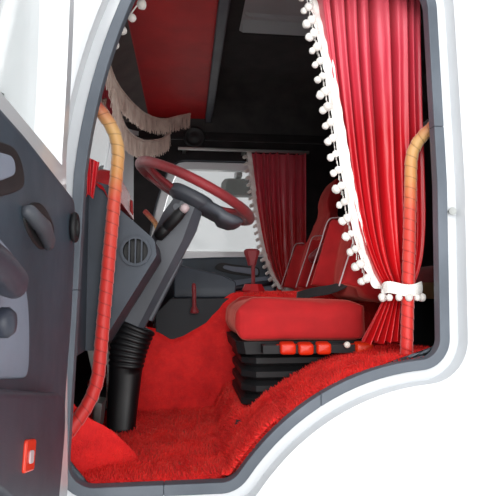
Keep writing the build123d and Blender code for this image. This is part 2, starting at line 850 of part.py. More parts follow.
# Gear lever: it rocks about a cross pin at the foot of a hollow gaiter
gear_x = 745
gear_y = -205
gear_pivot_z = tunnel_z + 14
gaiter_height = 60
gaiter_bore = 24
gaiter_plane = Plane(origin=(gear_x, gear_y, tunnel_z + soft_gap))
with BuildPart() as gear_gaiter:
    add(bevelled_stack(gaiter_plane, (
        (0, 122, 122, 36),
        (10, 122, 122, 36),
        (26, 94, 94, 28),
        (32, 100, 100, 30),
        (gaiter_height, 72, 72, 22),
    )))
    with Locations((gear_x, gear_y, tunnel_z + 50)):
        Box(2 * gaiter_bore, 2 * gaiter_bore, 200, mode=Mode.SUBTRACT)
save(gear_gaiter.part, "gear_gaiter")
with BuildPart() as gear_lever:
    with Locations((gear_x, gear_y, gear_pivot_z)):
        Cylinder(5, 2 * (gaiter_bore - soft_gap), rotation=(90, 0, 0))
    with BuildSketch(Plane.XY.offset(gear_pivot_z - 8)):
        with Locations((gear_x, gear_y)):
            RegularPolygon(9, 8)
    extrude(amount=138)
    add(bevelled_stack(Plane(origin=(gear_x - 6, gear_y, gear_pivot_z + 128)), (
        (0, 34, 30, 8), (22, 44, 36, 10), (52, 66, 44, 14), (66, 70, 42, 16), (74, 52, 28, 12),
    )))
save(gear_lever.part, "gear_lever")

# Steering wheel: an eight-sided rim on four dished spokes and a padded hub, bored for the column's shaft
tilt = radians(wheel_tilt)
wheel_plane = Plane(origin=wheel_centre, x_dir=(cos(tilt), 0, -sin(tilt)), z_dir=(sin(tilt), 0, cos(tilt)))
hub_base = -hub_drop - 22
shaft_radius = 14
shaft_reach = 12
rim_facets = 28


def on_wheel(points, turn):
    # Points in the wheel's own frame, turned about its axis.
    return [wheel_plane.from_local_coords(Vector(*point).rotate(Axis.Z, turn)) for point in points]


rim_section = []
for corner in range(8):
    turn = radians(45 * corner + 22.5)
    rim_section.append((wheel_radius + rim_radius * cos(turn), 0, rim_radius * sin(turn)))
rim_rings = [on_wheel(rim_section, 360 / rim_facets * facet) for facet in range(rim_facets + 1)]
with BuildPart() as steering_wheel:
    add(bevelled_chain(rim_rings))
    add(bevelled_stack(wheel_plane, (
        (hub_base, 120, 140, 34),
        (-hub_drop, 176, 216, 50),
        (-hub_drop + 26, 168, 210, 46),
        (-hub_drop + 34, 130, 168, 40),
    )))
    for angle in (-28, 28, 152, 208):
        spoke_points = []
        spoke_ends = ((70, -hub_drop - 2, -hub_drop + 22, 30), (wheel_radius - 3, -9, 9, 15))
        for reach, low, high, half_width in spoke_ends:
            spoke_points += [(reach, side * half_width, z) for side in (-1, 1) for z in (low, high)]
        ConvexPolyhedron(on_wheel(spoke_points, angle))
    with BuildSketch(wheel_plane.offset(hub_base)):
        Circle(shaft_radius + pin_clearance)
    extrude(amount=shaft_reach, mode=Mode.SUBTRACT)
save(steering_wheel.part, "steering_wheel")

# Steering column: an angular shroud down the wheel's axis with a stalk, then a ribbed boot on a foot tube
column_top = hub_base - soft_gap
with BuildPart() as steering_column:
    add(bevelled_stack(wheel_plane, (
        (column_top, 112, 150, 30),
        (column_top - 60, 132, 150, 34),
        (column_top - 120, 130, 120, 26),
        (column_top - 300, 118, 108, 22),
        (column_top - column_length, 112, 100, 20),
    )))
    strip_plane = wheel_plane.offset(column_top - 290)
    add(bevelled_stack(strip_plane, ((-130, 30, 34, 5), (110, 30, 34, 5))).translate(wheel_plane.x_dir * 56))
    stalk_foot = wheel_plane.from_local_coords((-24, -60, column_top - 30))
    stalk_plane = Plane(origin=stalk_foot, z_dir=(-0.25, -1, 0.32))
    with BuildSketch(stalk_plane):
        RegularPolygon(13, 8)
    extrude(amount=150)
    with BuildSketch(wheel_plane.offset(column_top)):
        Circle(shaft_radius)
    extrude(amount=shaft_reach)
save(steering_column.part, "steering_column")

boot_top = wheel_plane.offset(column_top - column_length - soft_gap)
boot_foot_z = floor_z + pile + 2 * soft_gap
boot_foot = Plane(origin=(238, wheel_centre[1], boot_foot_z))
foot_tube = 175
bellow_count = 9
boot_rings = [ring_points(boot_foot, 0, 104, 88, 24), ring_points(boot_foot, foot_tube, 100, 84, 24)]
foot_centre = boot_foot.origin + Vector(0, 0, foot_tube)
boot_rise = boot_top.origin - foot_centre
for fold in range(1, 2 * bellow_count + 1):
    share = fold / (2 * bellow_count)
    lean = radians(wheel_tilt * share)
    fold_plane = Plane(
        origin=foot_centre + boot_rise * share,
        x_dir=(cos(lean), 0, -sin(lean)),
        z_dir=(sin(lean), 0, cos(lean)),
    )
    bulge = 12 * share + (22 if fold % 2 else 0)
    boot_rings.append(ring_points(fold_plane, 0, 102 + bulge, 84 + bulge, 22))
with BuildPart() as column_boot:
    add(bevelled_chain(boot_rings))
save(column_boot.part, "column_boot")

# Pedals hang from a bar under the dashboard
pedal_bar_z = dash_low_z - soft_gap - 8
# Middle of each pedal across the cab, width of its pad, and drop of its pad
pedal_set = ((-800, 90, 0), (-520, 90, 0), (-430, 64, 30))
with BuildPart() as pedals:
    for pedal_y, pad_width, pad_drop in pedal_set:
        arm_points = (
            (142, pedal_bar_z),
            (160, pedal_bar_z),
            (186, 480),
            (182, 350 - pad_drop),
            (166, 350 - pad_drop),
            (168, 470),
        )
        add(side_profile(arm_points, pedal_y, 9))
        pad_points = ((172, 330 - pad_drop), (192, 326 - pad_drop), (200, 404), (180, 408))
        add(side_profile(pad_points, pedal_y, pad_width / 2))
    with Locations((150, -615, pedal_bar_z)):
        Box(24, 420, 16)
save(pedals.part, "pedals")

# Shelf over the windscreen
with BuildPart() as overhead_shelf:
    add(side_profile((
        (-160, shelf_header_z),
        (-10, shelf_header_z),
        (shelf_front_x, shelf_z),
        (shelf_rear_x, shelf_z),
        (shelf_rear_x + 10, shelf_z + 60),
        (shelf_rear_x - 20, shelf_z + 60),
        (shelf_rear_x - 24, shelf_z + 16),
        (shelf_front_x - 10, shelf_z + 16),
        (-160, shelf_z - 70),
    ), 0, 1200))
    add(inner_space, mode=Mode.INTERSECT)
save(overhead_shelf.part, "overhead_shelf")


# Seats: a sprung base in bellows with a lever tray, a shaped cushion, and a raked back with its headrest
tray_x = 850
tray_length = 320
tray_z = cushion_z - 20
lever_y = 255


def seat_base_form(side):
    middle_y = side * seat_y
    middle_x = seat_front_x + seat_length / 2 + 14
    foot = Plane(origin=(middle_x, middle_y, platform_z + soft_gap))
    base_height = cushion_z - platform_z - 2 * soft_gap
    fold_count = 4
    foot_height = 18
    pan_height = 40
    fold_height = (base_height - foot_height - pan_height) / fold_count
    rings = [(0, 430, 420, 30), (foot_height, 420, 410, 30)]
    for fold in range(fold_count):
        low = foot_height + fold * fold_height
        rings += [
            (low + 0.1, 376, 386, 40),
            (low + 0.3 * fold_height, 412, 426, 44),
            (low + 0.7 * fold_height, 412, 426, 44),
            (low + fold_height, 376, 386, 40),
        ]
    rings += [(base_height - pan_height + 0.1, 440, 440, 24), (base_height, 456, 450, 24)]
    with BuildPart() as base:
        add(bevelled_stack(foot, rings))
        with Locations((tray_x, middle_y + side * (lever_y - 5), tray_z)):
            Box(tray_length, 58, 26)
            with Locations((0, side * 5, 6)):
                Box(tray_length - 20, 36, 26, mode=Mode.SUBTRACT)
    return base.part


def seat_cushion_form(side):
    middle_y = side * seat_y
    top_z = cushion_z + cushion_height
    rear_edge = seat_front_x + seat_length
    with BuildPart() as cushion:
        with BuildSketch(Plane.XZ.offset(-middle_y - seat_width / 2)) as profile:
            with BuildLine():
                Polyline(
                    (seat_front_x + 26, cushion_z),
                    (seat_front_x, cushion_z + 46),
                    (seat_front_x + 8, top_z - 30),
                    (seat_front_x + 70, top_z),
                    (rear_edge - back_lap, top_z - cushion_fall / 2),
                    (rear_edge, top_z - cushion_fall),
                    (rear_edge, cushion_z),
                    close=True,
                )
            make_face()
            fillet(profile.vertices().sort_by_distance((seat_front_x + 8, top_z - 30))[0], 36)
        extrude(amount=seat_width)
        half = seat_width / 2
        with BuildSketch(Plane.YZ.offset(seat_front_x - 10)):
            with BuildLine():
                Polyline(
                    (middle_y - half, cushion_z),
                    (middle_y - half, top_z - 44),
                    (middle_y - half + 34, top_z),
                    (middle_y - half + 100, top_z),
                    (middle_y - half + 130, top_z - 16),
                    (middle_y + half - 130, top_z - 16),
                    (middle_y + half - 100, top_z),
                    (middle_y + half - 34, top_z),
                    (middle_y + half, top_z - 44),
                    (middle_y + half, cushion_z),
                    close=True,
                )
            make_face()
        extrude(amount=seat_length + 20, mode=Mode.INTERSECT)
        with BuildSketch(Plane.XY.offset(cushion_z)):
            with Locations((seat_front_x + seat_length / 2, middle_y)):
                RectangleRounded(seat_length, seat_width, 50)
        extrude(amount=cushion_height, mode=Mode.INTERSECT)
    return cushion.part


def seat_back_form(side):
    middle_y = side * seat_y
    rake = radians(back_rake)
    foot_z = cushion_z + cushion_height - cushion_fall + back_lap * tan(rake) + soft_gap
    foot = Vector(seat_front_x + seat_length - back_lap, middle_y, foot_z)
    forward = Vector(cos(rake), 0, -sin(rake))
    head_z = back_height + headrest_height
    half = seat_width / 2
    side_plane = Plane(origin=foot + Vector(0, half, 0), x_dir=forward, z_dir=(0, -1, 0))
    face_plane = Plane(origin=foot - forward * 60, x_dir=(0, 1, 0), z_dir=forward)
    with BuildPart() as back:
        with BuildSketch(side_plane) as profile:
            with BuildLine():
                Line((back_thickness, 0), (34, 0))
                ThreePointArc((34, 0), (4, back_height * 0.4), (22, back_height * 0.8))
                Line((22, back_height * 0.8), (30, back_height))
                Line((30, back_height), (14, back_height + 40))
                ThreePointArc((14, back_height + 40), (10, head_z - 90), (40, head_z))
                Line((40, head_z), (92, head_z))
                Line((92, head_z), (100, back_height))
                Line((100, back_height), (back_thickness, 0))
            make_face()
        extrude(amount=seat_width)
        with BuildSketch(face_plane) as outline:
            with BuildLine():
                Polyline(
                    (-half + 14, 0),
                    (-half, 70),
                    (-half, back_height * 0.6),
                    (-half + 46, back_height - 30),
                    (-headrest_width / 2 - 16, back_height + 10),
                    (-headrest_width / 2, back_height + 40),
                    (-headrest_width / 2, head_z),
                    (headrest_width / 2, head_z),
                    (headrest_width / 2, back_height + 40),
                    (headrest_width / 2 + 16, back_height + 10),
                    (half - 46, back_height - 30),
                    (half, back_height * 0.6),
                    (half, 70),
                    (half - 14, 0),
                    close=True,
                )
            make_face()
            fillet(outline.vertices().group_by(Axis.Z)[-1], 60)
        extrude(amount=240, mode=Mode.INTERSECT)
        for bolster in (-1, 1):
            bolster_points = []
            for z, near, far, reach in ((26, half - 92, half - 4, -66), (330, half - 86, half - 6, -44)):
                for depth in (reach, 60):
                    edge = 14 if depth == reach else 0
                    bolster_points.append((bolster * (near + edge), z, depth))
                    bolster_points.append((bolster * (far - edge), z, depth))
            frame = Plane(origin=foot, x_dir=(0, 1, 0), z_dir=forward)
            ConvexPolyhedron([frame.from_local_coords(Vector(*point)) for point in bolster_points])
    return back.part


with BuildPart() as seat_bases:
    for side, owner, slide in seats:
        add(seat_base_form(side))
save(seat_bases.part, "seat_bases")
for side, owner, slide in seats:
    save(seat_cushion_form(side).translate(Vector(slide, 0, 0)), f"seat_cushion_{owner}")
    save(seat_back_form(side).translate(Vector(slide, 0, 0)), f"seat_back_{owner}")

# Adjusting levers in the trays on the seats' outer sides
lever_set = ((-94, 52), (-34, 56), (32, 44), (122, 48))
with BuildPart() as seat_levers:
    for side in (-1, 1):
        for lever_x, lever_length in lever_set:
            lever_plane = Plane(origin=(tray_x + lever_x, side * (seat_y + lever_y), tray_z - 7 + soft_gap))
            add(bevelled_stack(lever_plane, (
                (0, lever_length, 26, 4), (12, lever_length, 26, 4), (20, lever_length - 10, 18, 4),
            )))
save(seat_levers.part, "seat_levers")

# Bunk behind the seats
bunk_rear_x = rear_x - wall - lining
with BuildPart() as bunk_base:
    with Locations(((bunk_x + bunk_rear_x) / 2, 0, tunnel_z + soft_gap + bunk_plate / 2)):
        Box(bunk_rear_x - bunk_x, 2280, bunk_plate)
    with Locations((bunk_x + 12, 0, tunnel_z + soft_gap + bunk_plate / 2 + 20)):
        Box(24, 2280, bunk_plate + 40)
    add(envelope(wall + lining + soft_gap, cut_below), mode=Mode.INTERSECT)
save(bunk_base.part, "bunk_base")
mattress_length = bunk_rear_x - bunk_x - 54
mattress_x = bunk_x + 24 + soft_gap + mattress_length / 2
mattress_plane = Plane(origin=(mattress_x, 0, tunnel_z + 2 * soft_gap + bunk_plate))
with BuildPart() as bunk_mattress:
    add(bevelled_stack(mattress_plane, (
        (0, mattress_length - 20, 2150, 40),
        (12, mattress_length, 2170, 50),
        (mattress_height - 30, mattress_length, 2170, 50),
        (mattress_height, mattress_length - 60, 2110, 40),
    )))
save(bunk_mattress.part, "bunk_mattress")

# Fur carpets: footwell rugs with hump covers, and the tunnel cover
with BuildPart() as floor_carpets:
    with BuildSketch(Plane.XY.offset(floor_z + soft_gap)):
        with Locations((250, -(tunnel_half + 12 + 1120) / 2)):
            RectangleRounded(620, 1120 - tunnel_half - 12, 40)
    extrude(amount=pile)
    with BuildSketch(Plane.XZ.offset(hump_inner)):
        with Locations((arch_x, arch_z)):
            Circle(hump_radius + soft_gap + pile)
            Circle(hump_radius + soft_gap, mode=Mode.SUBTRACT)
    extrude(amount=1143 - hump_inner)
    add(half_space(x=(-400, bunk_x - 70), z=(floor_z + soft_gap, 2000)), mode=Mode.INTERSECT)
    cheek = hump_inner + plate + soft_gap
    riser_zone = half_space(x=(platform_x - riser_run - 5, 730), y=(-cheek, 0), z=(0, platform_z + soft_gap))
    add(riser_zone, mode=Mode.SUBTRACT)
    mirror(about=Plane.XZ)
    add(envelope(wall + lining + soft_gap, cut_below), mode=Mode.INTERSECT)
save(floor_carpets.part, "floor_carpets")

cover_front = 690
cover_rear = bunk_x - 12
cover_side = tunnel_half + soft_gap
with BuildPart() as tunnel_cover:
    with BuildSketch(Plane.YZ.offset(cover_front)):
        with BuildLine():
            Polyline(
                (-cover_side, platform_z + 2),
                (-cover_side, tunnel_z + soft_gap),
                (cover_side, tunnel_z + soft_gap),
                (cover_side, platform_z + 2),
                (cover_side + pile, platform_z + 2),
                (cover_side + pile, tunnel_z + 2),
                (cover_side + 4, tunnel_z + pile),
                (-cover_side - 4, tunnel_z + pile),
                (-cover_side - pile, tunnel_z + 2),
                (-cover_side - pile, platform_z + 2),
                close=True,
            )
        make_face()
    extrude(amount=cover_rear - cover_front)
    with Locations((gear_x, gear_y, tunnel_z)):
        Box(130, 130, 80, mode=Mode.SUBTRACT)
save(tunnel_cover.part, "tunnel_cover")


# Curtains, drawn back to the rear rail and tied there
def curtain(side, shift):
    inner_y = 975
    depth = 75
    with BuildPart() as cloth:
        with BuildSketch(Plane.XZ.offset(inner_y if side < 0 else -inner_y - depth)):
            with BuildLine():
                Polyline(
                    (835 + shift, 1690),
                    (850 + shift, 1560),
                    (900 + shift, 1250),
                    (956 + shift, 930),
                    (1022 + shift, 760),
                    (990 + shift, 590),
                    (1078 + shift, 590),
                    (1086 + shift, 760),
                    (1150 + shift, 930),
                    (1168 + shift, 1250),
                    (1168 + shift, 1690),
                    close=True,
                )
            make_face()
        extrude(amount=depth)
    return cloth.part


save(curtain(-1, 0), "curtain_left")
save(curtain(1, 80), "curtain_right")

track_z = 1690 + soft_gap
with BuildPart() as curtain_tracks:
    with Locations((840, -1012, track_z + 9)):
        Box(900, 22, 18)
    for bracket_x in (430, 840, 1250):
        with Locations((bracket_x, -1080, track_z + 9)):
            Box(24, 130, 18)
    add(inner_space, mode=Mode.INTERSECT)
    mirror(about=Plane.XZ)
save(curtain_tracks.part, "curtain_tracks")

# Scalloped valance along the screen
scallop_count = 5
valance_half = 860
valance_low_z = 1700
scallop_drop = 60
with BuildPart() as screen_valance:
    scallop_width = 2 * valance_half / scallop_count
    with BuildSketch(Plane.YZ.offset(20)):
        with BuildLine():
            Polyline(
                (-valance_half, valance_low_z),
                (-valance_half, 1838),
                (valance_half, 1838),
                (valance_half, valance_low_z),
            )
            for scallop in range(scallop_count):
                start = valance_half - scallop * scallop_width
                ThreePointArc(
                    (start, valance_low_z),
                    (start - scallop_width / 2, valance_low_z - scallop_drop),
                    (start - scallop_width, valance_low_z),
                )
        make_face()
    extrude(amount=8)
save(screen_valance.part, "screen_valance")


# Grab rails: a bent tube between two feet
def grab_rail(points, bend, floor_foot=False):
    with BuildPart() as rail:
        with BuildLine() as route:
            FilletPolyline(*points, radius=bend)
        with BuildSketch(Plane(origin=route.line @ 0, z_dir=route.line % 0)):
            RegularPolygon(rail_radius + 1, 8)
        sweep()
        for foot in (points[0], points[-1]):
            if floor_foot and foot is points[0]:
                with BuildSketch(Plane.XY.offset(foot[2] + 2)):
                    with Locations((foot[0], foot[1])):
                        RegularPolygon(28, 8)
                extrude(amount=12)
            else:
                with BuildSketch(Plane.XZ.offset(-foot[1] - 7)):
                    with Locations((foot[0], foot[2])):
                        RegularPolygon(28, 8)
                extrude(amount=30)
        add(envelope(wall + lining + soft_gap, cut_below), mode=Mode.INTERSECT)
        with Locations(Location((arch_x, 0, arch_z), (1, 0, 0), 90)):
            Cylinder(hump_radius + pile + 2 * soft_gap, 2600, mode=Mode.SUBTRACT)
    return rail.part


front_rail_points = (
    (118, -1126, 336),
    (218, -rail_y, 474),
    (266, -rail_y, 1176),
    (166, -1126, 1288),
)
rear_rail_points = (
    (1076, -rail_y, hump_radius + arch_z + pile + 4),
    (1106, -rail_y, 1172),
    (1174, -1126, 1240),
)
with BuildPart() as grab_rails:
    add(grab_rail(front_rail_points, 60))
    add(grab_rail(rear_rail_points, 50, floor_foot=True))
    mirror(about=Plane.XZ)
save(grab_rails.part, "grab_rails")

# Mirrors: a tall housing on two arms from the windscreen pillar, its glass sunk in the rear face
mirror_plane = Plane(origin=(-210, -1430, 1400), x_dir=(0, 1, 0), z_dir=(1, 0, 0))
with BuildPart() as side_mirrors:
    add(bevelled_stack(mirror_plane, (
        (0, 160, 430, 40), (30, 220, 505, 60), (110, 230, 520, 50),
    )))
    with Locations((-100, -1430, 1400)):
        Box(12, 206, 496, mode=Mode.SUBTRACT)
    for arm_z in (1230, 1590):
        with Locations(Location((-70, -1244, arm_z), (0, 0, 1), 60)):
            Box(380, 26, 30)
    add(envelope(0), mode=Mode.SUBTRACT)
    mirror(about=Plane.XZ)
save(side_mirrors.part, "side_mirrors")

# Kerb mirror on the right door's window frame
kerb_plane = Plane(origin=(825, 1345, 1440))
with BuildPart() as kerb_mirror:
    add(bevelled_stack(kerb_plane, (
        (0, 236, 84, 24), (30, 256, 96, 34), (100, 240, 84, 34), (130, 190, 56, 26),
    )))
    with BuildSketch(Plane.XZ.offset(-1400)):
        with Locations((825, 1592)):
            Rectangle(40, 60)
    extrude(amount=230)
    add(envelope(0), mode=Mode.SUBTRACT)
save(kerb_mirror.part, "kerb_mirror")

# Wipers on the lower screen edge: pivot, arm and blade
wiper_pivots = (-885, -250, 465)
# Outer and inner depth, reach along the screen, low and high edge of each layer
wiper_layers = (
    (-14, 11.7, 30, belt_z + 3, belt_z + 26),
    (-14, 0, 30, belt_z - 40, belt_z + 3),
    (1, 11.7, 435, belt_z + 12, belt_z + 26),
)
with BuildPart() as wipers:
    for outer, inner, reach, low, high in wiper_layers:
        wiper_band = skin(outer, inner, half_space(x=(-400, 0), y=(-1000, 1000), z=(low, high)))
        for pivot in wiper_pivots:
            add(wiper_band & half_space(x=(-400, 0), y=(pivot - 15, pivot - 15 + reach), z=(low, high)))
save(wipers.part, "wipers")
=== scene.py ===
import bpy, bmesh, json, math
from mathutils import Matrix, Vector, noise


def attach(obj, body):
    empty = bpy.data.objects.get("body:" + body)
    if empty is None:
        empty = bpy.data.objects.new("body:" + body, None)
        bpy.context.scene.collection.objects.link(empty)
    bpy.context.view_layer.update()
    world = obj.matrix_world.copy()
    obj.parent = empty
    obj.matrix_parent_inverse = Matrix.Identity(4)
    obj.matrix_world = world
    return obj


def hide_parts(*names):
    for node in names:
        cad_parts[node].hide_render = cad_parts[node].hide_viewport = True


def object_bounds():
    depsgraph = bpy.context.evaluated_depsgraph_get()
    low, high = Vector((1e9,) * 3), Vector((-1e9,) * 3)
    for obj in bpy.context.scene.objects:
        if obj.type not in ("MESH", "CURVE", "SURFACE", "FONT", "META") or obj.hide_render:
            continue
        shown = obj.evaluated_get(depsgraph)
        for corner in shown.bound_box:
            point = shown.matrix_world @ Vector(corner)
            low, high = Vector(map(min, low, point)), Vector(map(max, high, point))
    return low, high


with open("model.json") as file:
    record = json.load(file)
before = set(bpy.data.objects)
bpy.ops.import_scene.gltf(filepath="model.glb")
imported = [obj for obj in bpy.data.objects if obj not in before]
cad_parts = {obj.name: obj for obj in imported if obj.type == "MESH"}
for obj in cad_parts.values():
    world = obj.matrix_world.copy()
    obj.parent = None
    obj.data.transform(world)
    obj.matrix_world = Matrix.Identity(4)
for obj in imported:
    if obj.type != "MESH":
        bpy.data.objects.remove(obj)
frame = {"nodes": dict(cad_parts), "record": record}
nodes = frame["nodes"]
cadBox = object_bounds()
print("frame loaded:", len(nodes), "nodes")


# small helpers

def srgb(hexValue):
    out = []
    for i in (1, 3, 5):
        c = int(hexValue[i:i + 2], 16) / 255
        out.append(c / 12.92 if c <= 0.04045 else ((c + 0.055) / 1.055) ** 2.4)
    return (*out, 1.0)


def addNode(tree, kind, props=None, inputs=None):
    node = tree.nodes.new(kind)
    for name, value in (props or {}).items():
        setattr(node, name, value)
    for name, value in (inputs or {}).items():
        if isinstance(value, bpy.types.NodeSocket):
            tree.links.new(value, node.inputs[name])
        else:
            node.inputs[name].default_value = value
    return node


def newMaterial(name, **shader):
    material = bpy.data.materials.new(name)
    material.use_nodes = True
    tree = material.node_tree
    bsdf = tree.nodes["Principled BSDF"]
    for socket, value in shader.items():
        bsdf.inputs[socket].default_value = value
    coords = addNode(tree, "ShaderNodeTexCoord")
    return material, tree, bsdf, coords.outputs["Object"]


def colourStops(tree, factor, stops):
    ramp = addNode(tree, "ShaderNodeValToRGB", inputs={"Fac": factor})
    elements = ramp.color_ramp.elements
    while len(elements) < len(stops):
        elements.new(0.5)
    for element, (position, colour) in zip(elements, stops):
        element.position, element.color = position, srgb(colour)
    return ramp.outputs["Color"]


def twoTone(tree, bsdf, factor, dark, light, low=0.3, high=0.7):
    colour = colourStops(tree, factor, ((low, dark), (high, light)))
    tree.links.new(colour, bsdf.inputs["Base Color"])
    return colour


def cloudy(tree, at, scale, detail=2.0, roughness=0.5):
    return addNode(tree, "ShaderNodeTexNoise", inputs={
        "Vector": at, "Scale": scale, "Detail": detail, "Roughness": roughness}).outputs["Fac"]


def remap(tree, value, toMin=0.0, toMax=1.0, fromMin=0.0, fromMax=1.0):
    return addNode(tree, "ShaderNodeMapRange", inputs={
        "Value": value, "From Min": fromMin, "From Max": fromMax, "To Min": toMin, "To Max": toMax}).outputs["Result"]


def varyRoughness(tree, bsdf, factor, low, high):
    tree.links.new(remap(tree, factor, low, high), bsdf.inputs["Roughness"])


def addBump(tree, bsdf, height, strength, depth, under=None):
    inputs = {"Height": height, "Strength": strength, "Distance": depth}
    if under is not None:
        inputs["Normal"] = under.outputs["Normal"]
    bump = addNode(tree, "ShaderNodeBump", inputs=inputs)
    tree.links.new(bump.outputs["Normal"], bsdf.inputs["Normal"])
    return bump


def inMetres(point):
    return Vector(point) / 1000


def placePiece(name, mesh, body="cab", inPlaceOf=()):
    piece = bpy.data.objects.new(name, mesh)
    bpy.context.scene.collection.objects.link(piece)
    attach(piece, body)
    if inPlaceOf:
        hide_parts(*inPlaceOf)
    return piece


def newMesh(name, points, faces, finish, smooth=True):
    # points in millimetres
    mesh = bpy.data.meshes.new(name)
    mesh.from_pydata([inMetres(p) for p in points], [], faces)
    mesh.materials.append(finish)
    mesh.polygons.foreach_set("use_smooth", [smooth] * len(mesh.polygons))
    mesh.update()
    return mesh


def bakeModifiers(piece):
    graph = bpy.context.evaluated_depsgraph_get()
    baked = bpy.data.meshes.new_from_object(piece.evaluated_get(graph), depsgraph=graph)
    piece.modifiers.clear()
    piece.data = baked
    return piece


def gridFaces(columns, rows, wrap=False):
    # quads between rows of points, joined round each row where it wraps
    spans = columns if wrap else columns - 1
    return [(j * columns + i, j * columns + (i + 1) % columns,
             (j + 1) * columns + (i + 1) % columns, (j + 1) * columns + i)
            for j in range(rows - 1) for i in range(spans)]


def surfaceGrid(place, columns, rows):
    # place(across, down) gives a point for shares from 0 to 1
    points = [place(i / (columns - 1), j / (rows - 1)) for j in range(rows) for i in range(columns)]
    return points, gridFaces(columns, rows)


def closedGrid(points, sections):
    # quads over a ring of rings, each with so many sections
    faces = gridFaces(sections, len(points) // sections + 1, wrap=True)
    return points, [tuple(index % len(points) for index in face) for face in faces]


def loftRings(rings):
    # closed body through rings of equal length, with a fan at each end
    count = len(rings[0])
    points = [p for ring in rings for p in ring]
    faces = gridFaces(count, len(rings), wrap=True)
    for ring, start in ((rings[0], 0), (rings[-1], (len(rings) - 1) * count)):
        points.append(sum((Vector(p) for p in ring), Vector()) / count)
        for i in range(count):
            faces.append((start + i, start + (i + 1) % count, len(points) - 1))
    return points, faces


def weldedShape(mesh, within=0.00003):
    shape = bmesh.new()
    shape.from_mesh(mesh)
    bmesh.ops.remove_doubles(shape, verts=shape.verts, dist=within)
    return shape


def meshFrom(shape, name, finish):
    mesh = bpy.data.meshes.new(name)
    shape.to_mesh(mesh)
    shape.free()
    mesh.polygons.foreach_set("use_smooth", [True] * len(mesh.polygons))
    mesh.materials.append(finish)
    return mesh


def facingOut(mesh):
    shape = weldedShape(mesh, 0.00001)
    bmesh.ops.recalc_face_normals(shape, faces=shape.faces)
    shape.to_mesh(mesh)
    shape.free()
    return mesh


def placeSolid(name, points, faces, finish, slotName, body="cab", inPlaceOf=()):
    return placePiece(name, facingOut(newMesh(name, points, faces, finish)), body, inPlaceOf)


def placeLoft(name, rings, finish, slotName, body="cab", inPlaceOf=()):
    return placeSolid(name, *loftRings(rings), finish, slotName, body, inPlaceOf)


def circle(place, side, up, radius, sides):
    turns = (2 * math.pi * i / sides for i in range(sides))
    return [place + side * (radius * math.cos(turn)) + up * (radius * math.sin(turn)) for turn in turns]


def squareTo(along):
    side = along.orthogonal().normalized()
    return side, along.cross(side)


def roundedPath(corners, bend, step):
    # straight runs with eased corners, in points an even step apart
    corners = [Vector(c) for c in corners]
    line = [corners[0]]
    for before, corner, after in zip(corners, corners[1:], corners[2:]):
        reach = min(bend, (corner - before).length * 0.48, (after - corner).length * 0.48)
        start = corner + (before - corner).normalized() * reach
        end = corner + (after - corner).normalized() * reach
        for i in range(13):
            t = i / 12
            line.append(start * (1 - t) ** 2 + corner * 2 * t * (1 - t) + end * t ** 2)
    line.append(corners[-1])
    even = [line[0].copy()]
    left = step
    for here, there in zip(line, line[1:]):
        run = (there - here).length
        done = 0.0
        while run - done >= left:
            done += left
            even.append(here.lerp(there, done / run))
            left = step
        left -= run - done
    return even


def framesAlong(path):
    # tangent and two sides at each point, carried along without twist
    frames = []
    side = None
    for i, place in enumerate(path):
        along = (path[min(i + 1, len(path) - 1)] - path[max(i - 1, 0)]).normalized()
        if side is None:
            side = along.orthogonal().normalized()
        side = (side - along * side.dot(along)).normalized()
        frames.append((place, along, side, along.cross(side)))
    return frames


def tubeAlong(path, radius, sides=12):
    # radius(distance, turn) in millimetres, both from the start of the path
    rings = []
    distance = 0.0
    previous = path[0]
    for place, along, side, up in framesAlong(path):
        distance += (place - previous).length
        previous = place
        ring = []
        for i in range(sides):
            turn = 2 * math.pi * i / sides
            r = radius(distance, turn)
            ring.append(place + side * (math.cos(turn) * r) + up * (math.sin(turn) * r))
        rings.append(ring)
    return loftRings(rings)


# materials

def grainedPlastic(name, dark, light, roughness, grainMm=1.6, depth=0.0003):
    # injection-moulded ABS with a pebble grain, drawn coarser than the real 0.5 mm so that it shows
    material, tree, bsdf, at = newMaterial(name, **{"Roughness": roughness, "Specular IOR Level": 0.45})
    twoTone(tree, bsdf, cloudy(tree, at, 5.0, 4.0), dark, light)
    pebble = addNode(tree, "ShaderNodeTexVoronoi", inputs={"Vector": at, "Scale": 1000 / grainMm})
    addBump(tree, bsdf, pebble.outputs["Distance"], 0.5, depth)
    varyRoughness(tree, bsdf, cloudy(tree, at, 14.0, 8.0), roughness - 0.08, roughness + 0.14)
    return material


def leather(name, dark, light, roughness, grainMm=3.0, depth=0.0006, sheen=0.0):
    # embossed leatherette: creased grain under slow colour variation
    material, tree, bsdf, at = newMaterial(name, **{
        "Roughness": roughness, "Sheen Weight": sheen, "Specular IOR Level": 0.5})
    twoTone(tree, bsdf, cloudy(tree, at, 7.0, 5.0), dark, light)
    cells = addNode(tree, "ShaderNodeTexVoronoi", {"feature": "DISTANCE_TO_EDGE"},
                    {"Vector": at, "Scale": 1000 / grainMm})
    addBump(tree, bsdf, remap(tree, cells.outputs["Distance"], fromMax=0.12), 0.6, depth)
    return material


def clothWeave(name, dark, light, roughness, threadMm, depth, sheen=0.3, sheenTint=None):
    # woven or knitted cloth: crossed threads over slow colour variation
    material, tree, bsdf, at = newMaterial(name, **{
        "Roughness": roughness, "Sheen Weight": sheen, "Sheen Roughness": 0.45})
    if sheenTint:
        bsdf.inputs["Sheen Tint"].default_value = srgb(sheenTint)
    twoTone(tree, bsdf, cloudy(tree, at, 9.0, 6.0), dark, light)
    scale = 1000 / threadMm / 6.2832
    under = None
    for direction in ("X", "Z"):
        threads = addNode(tree, "ShaderNodeTexWave", {"bands_direction": direction},
                          {"Vector": at, "Scale": scale, "Distortion": 1.5, "Detail": 2.0, "Detail Scale": 2.0})
        under = addBump(tree, bsdf, threads.outputs["Fac"], 0.35, depth, under)
    return material


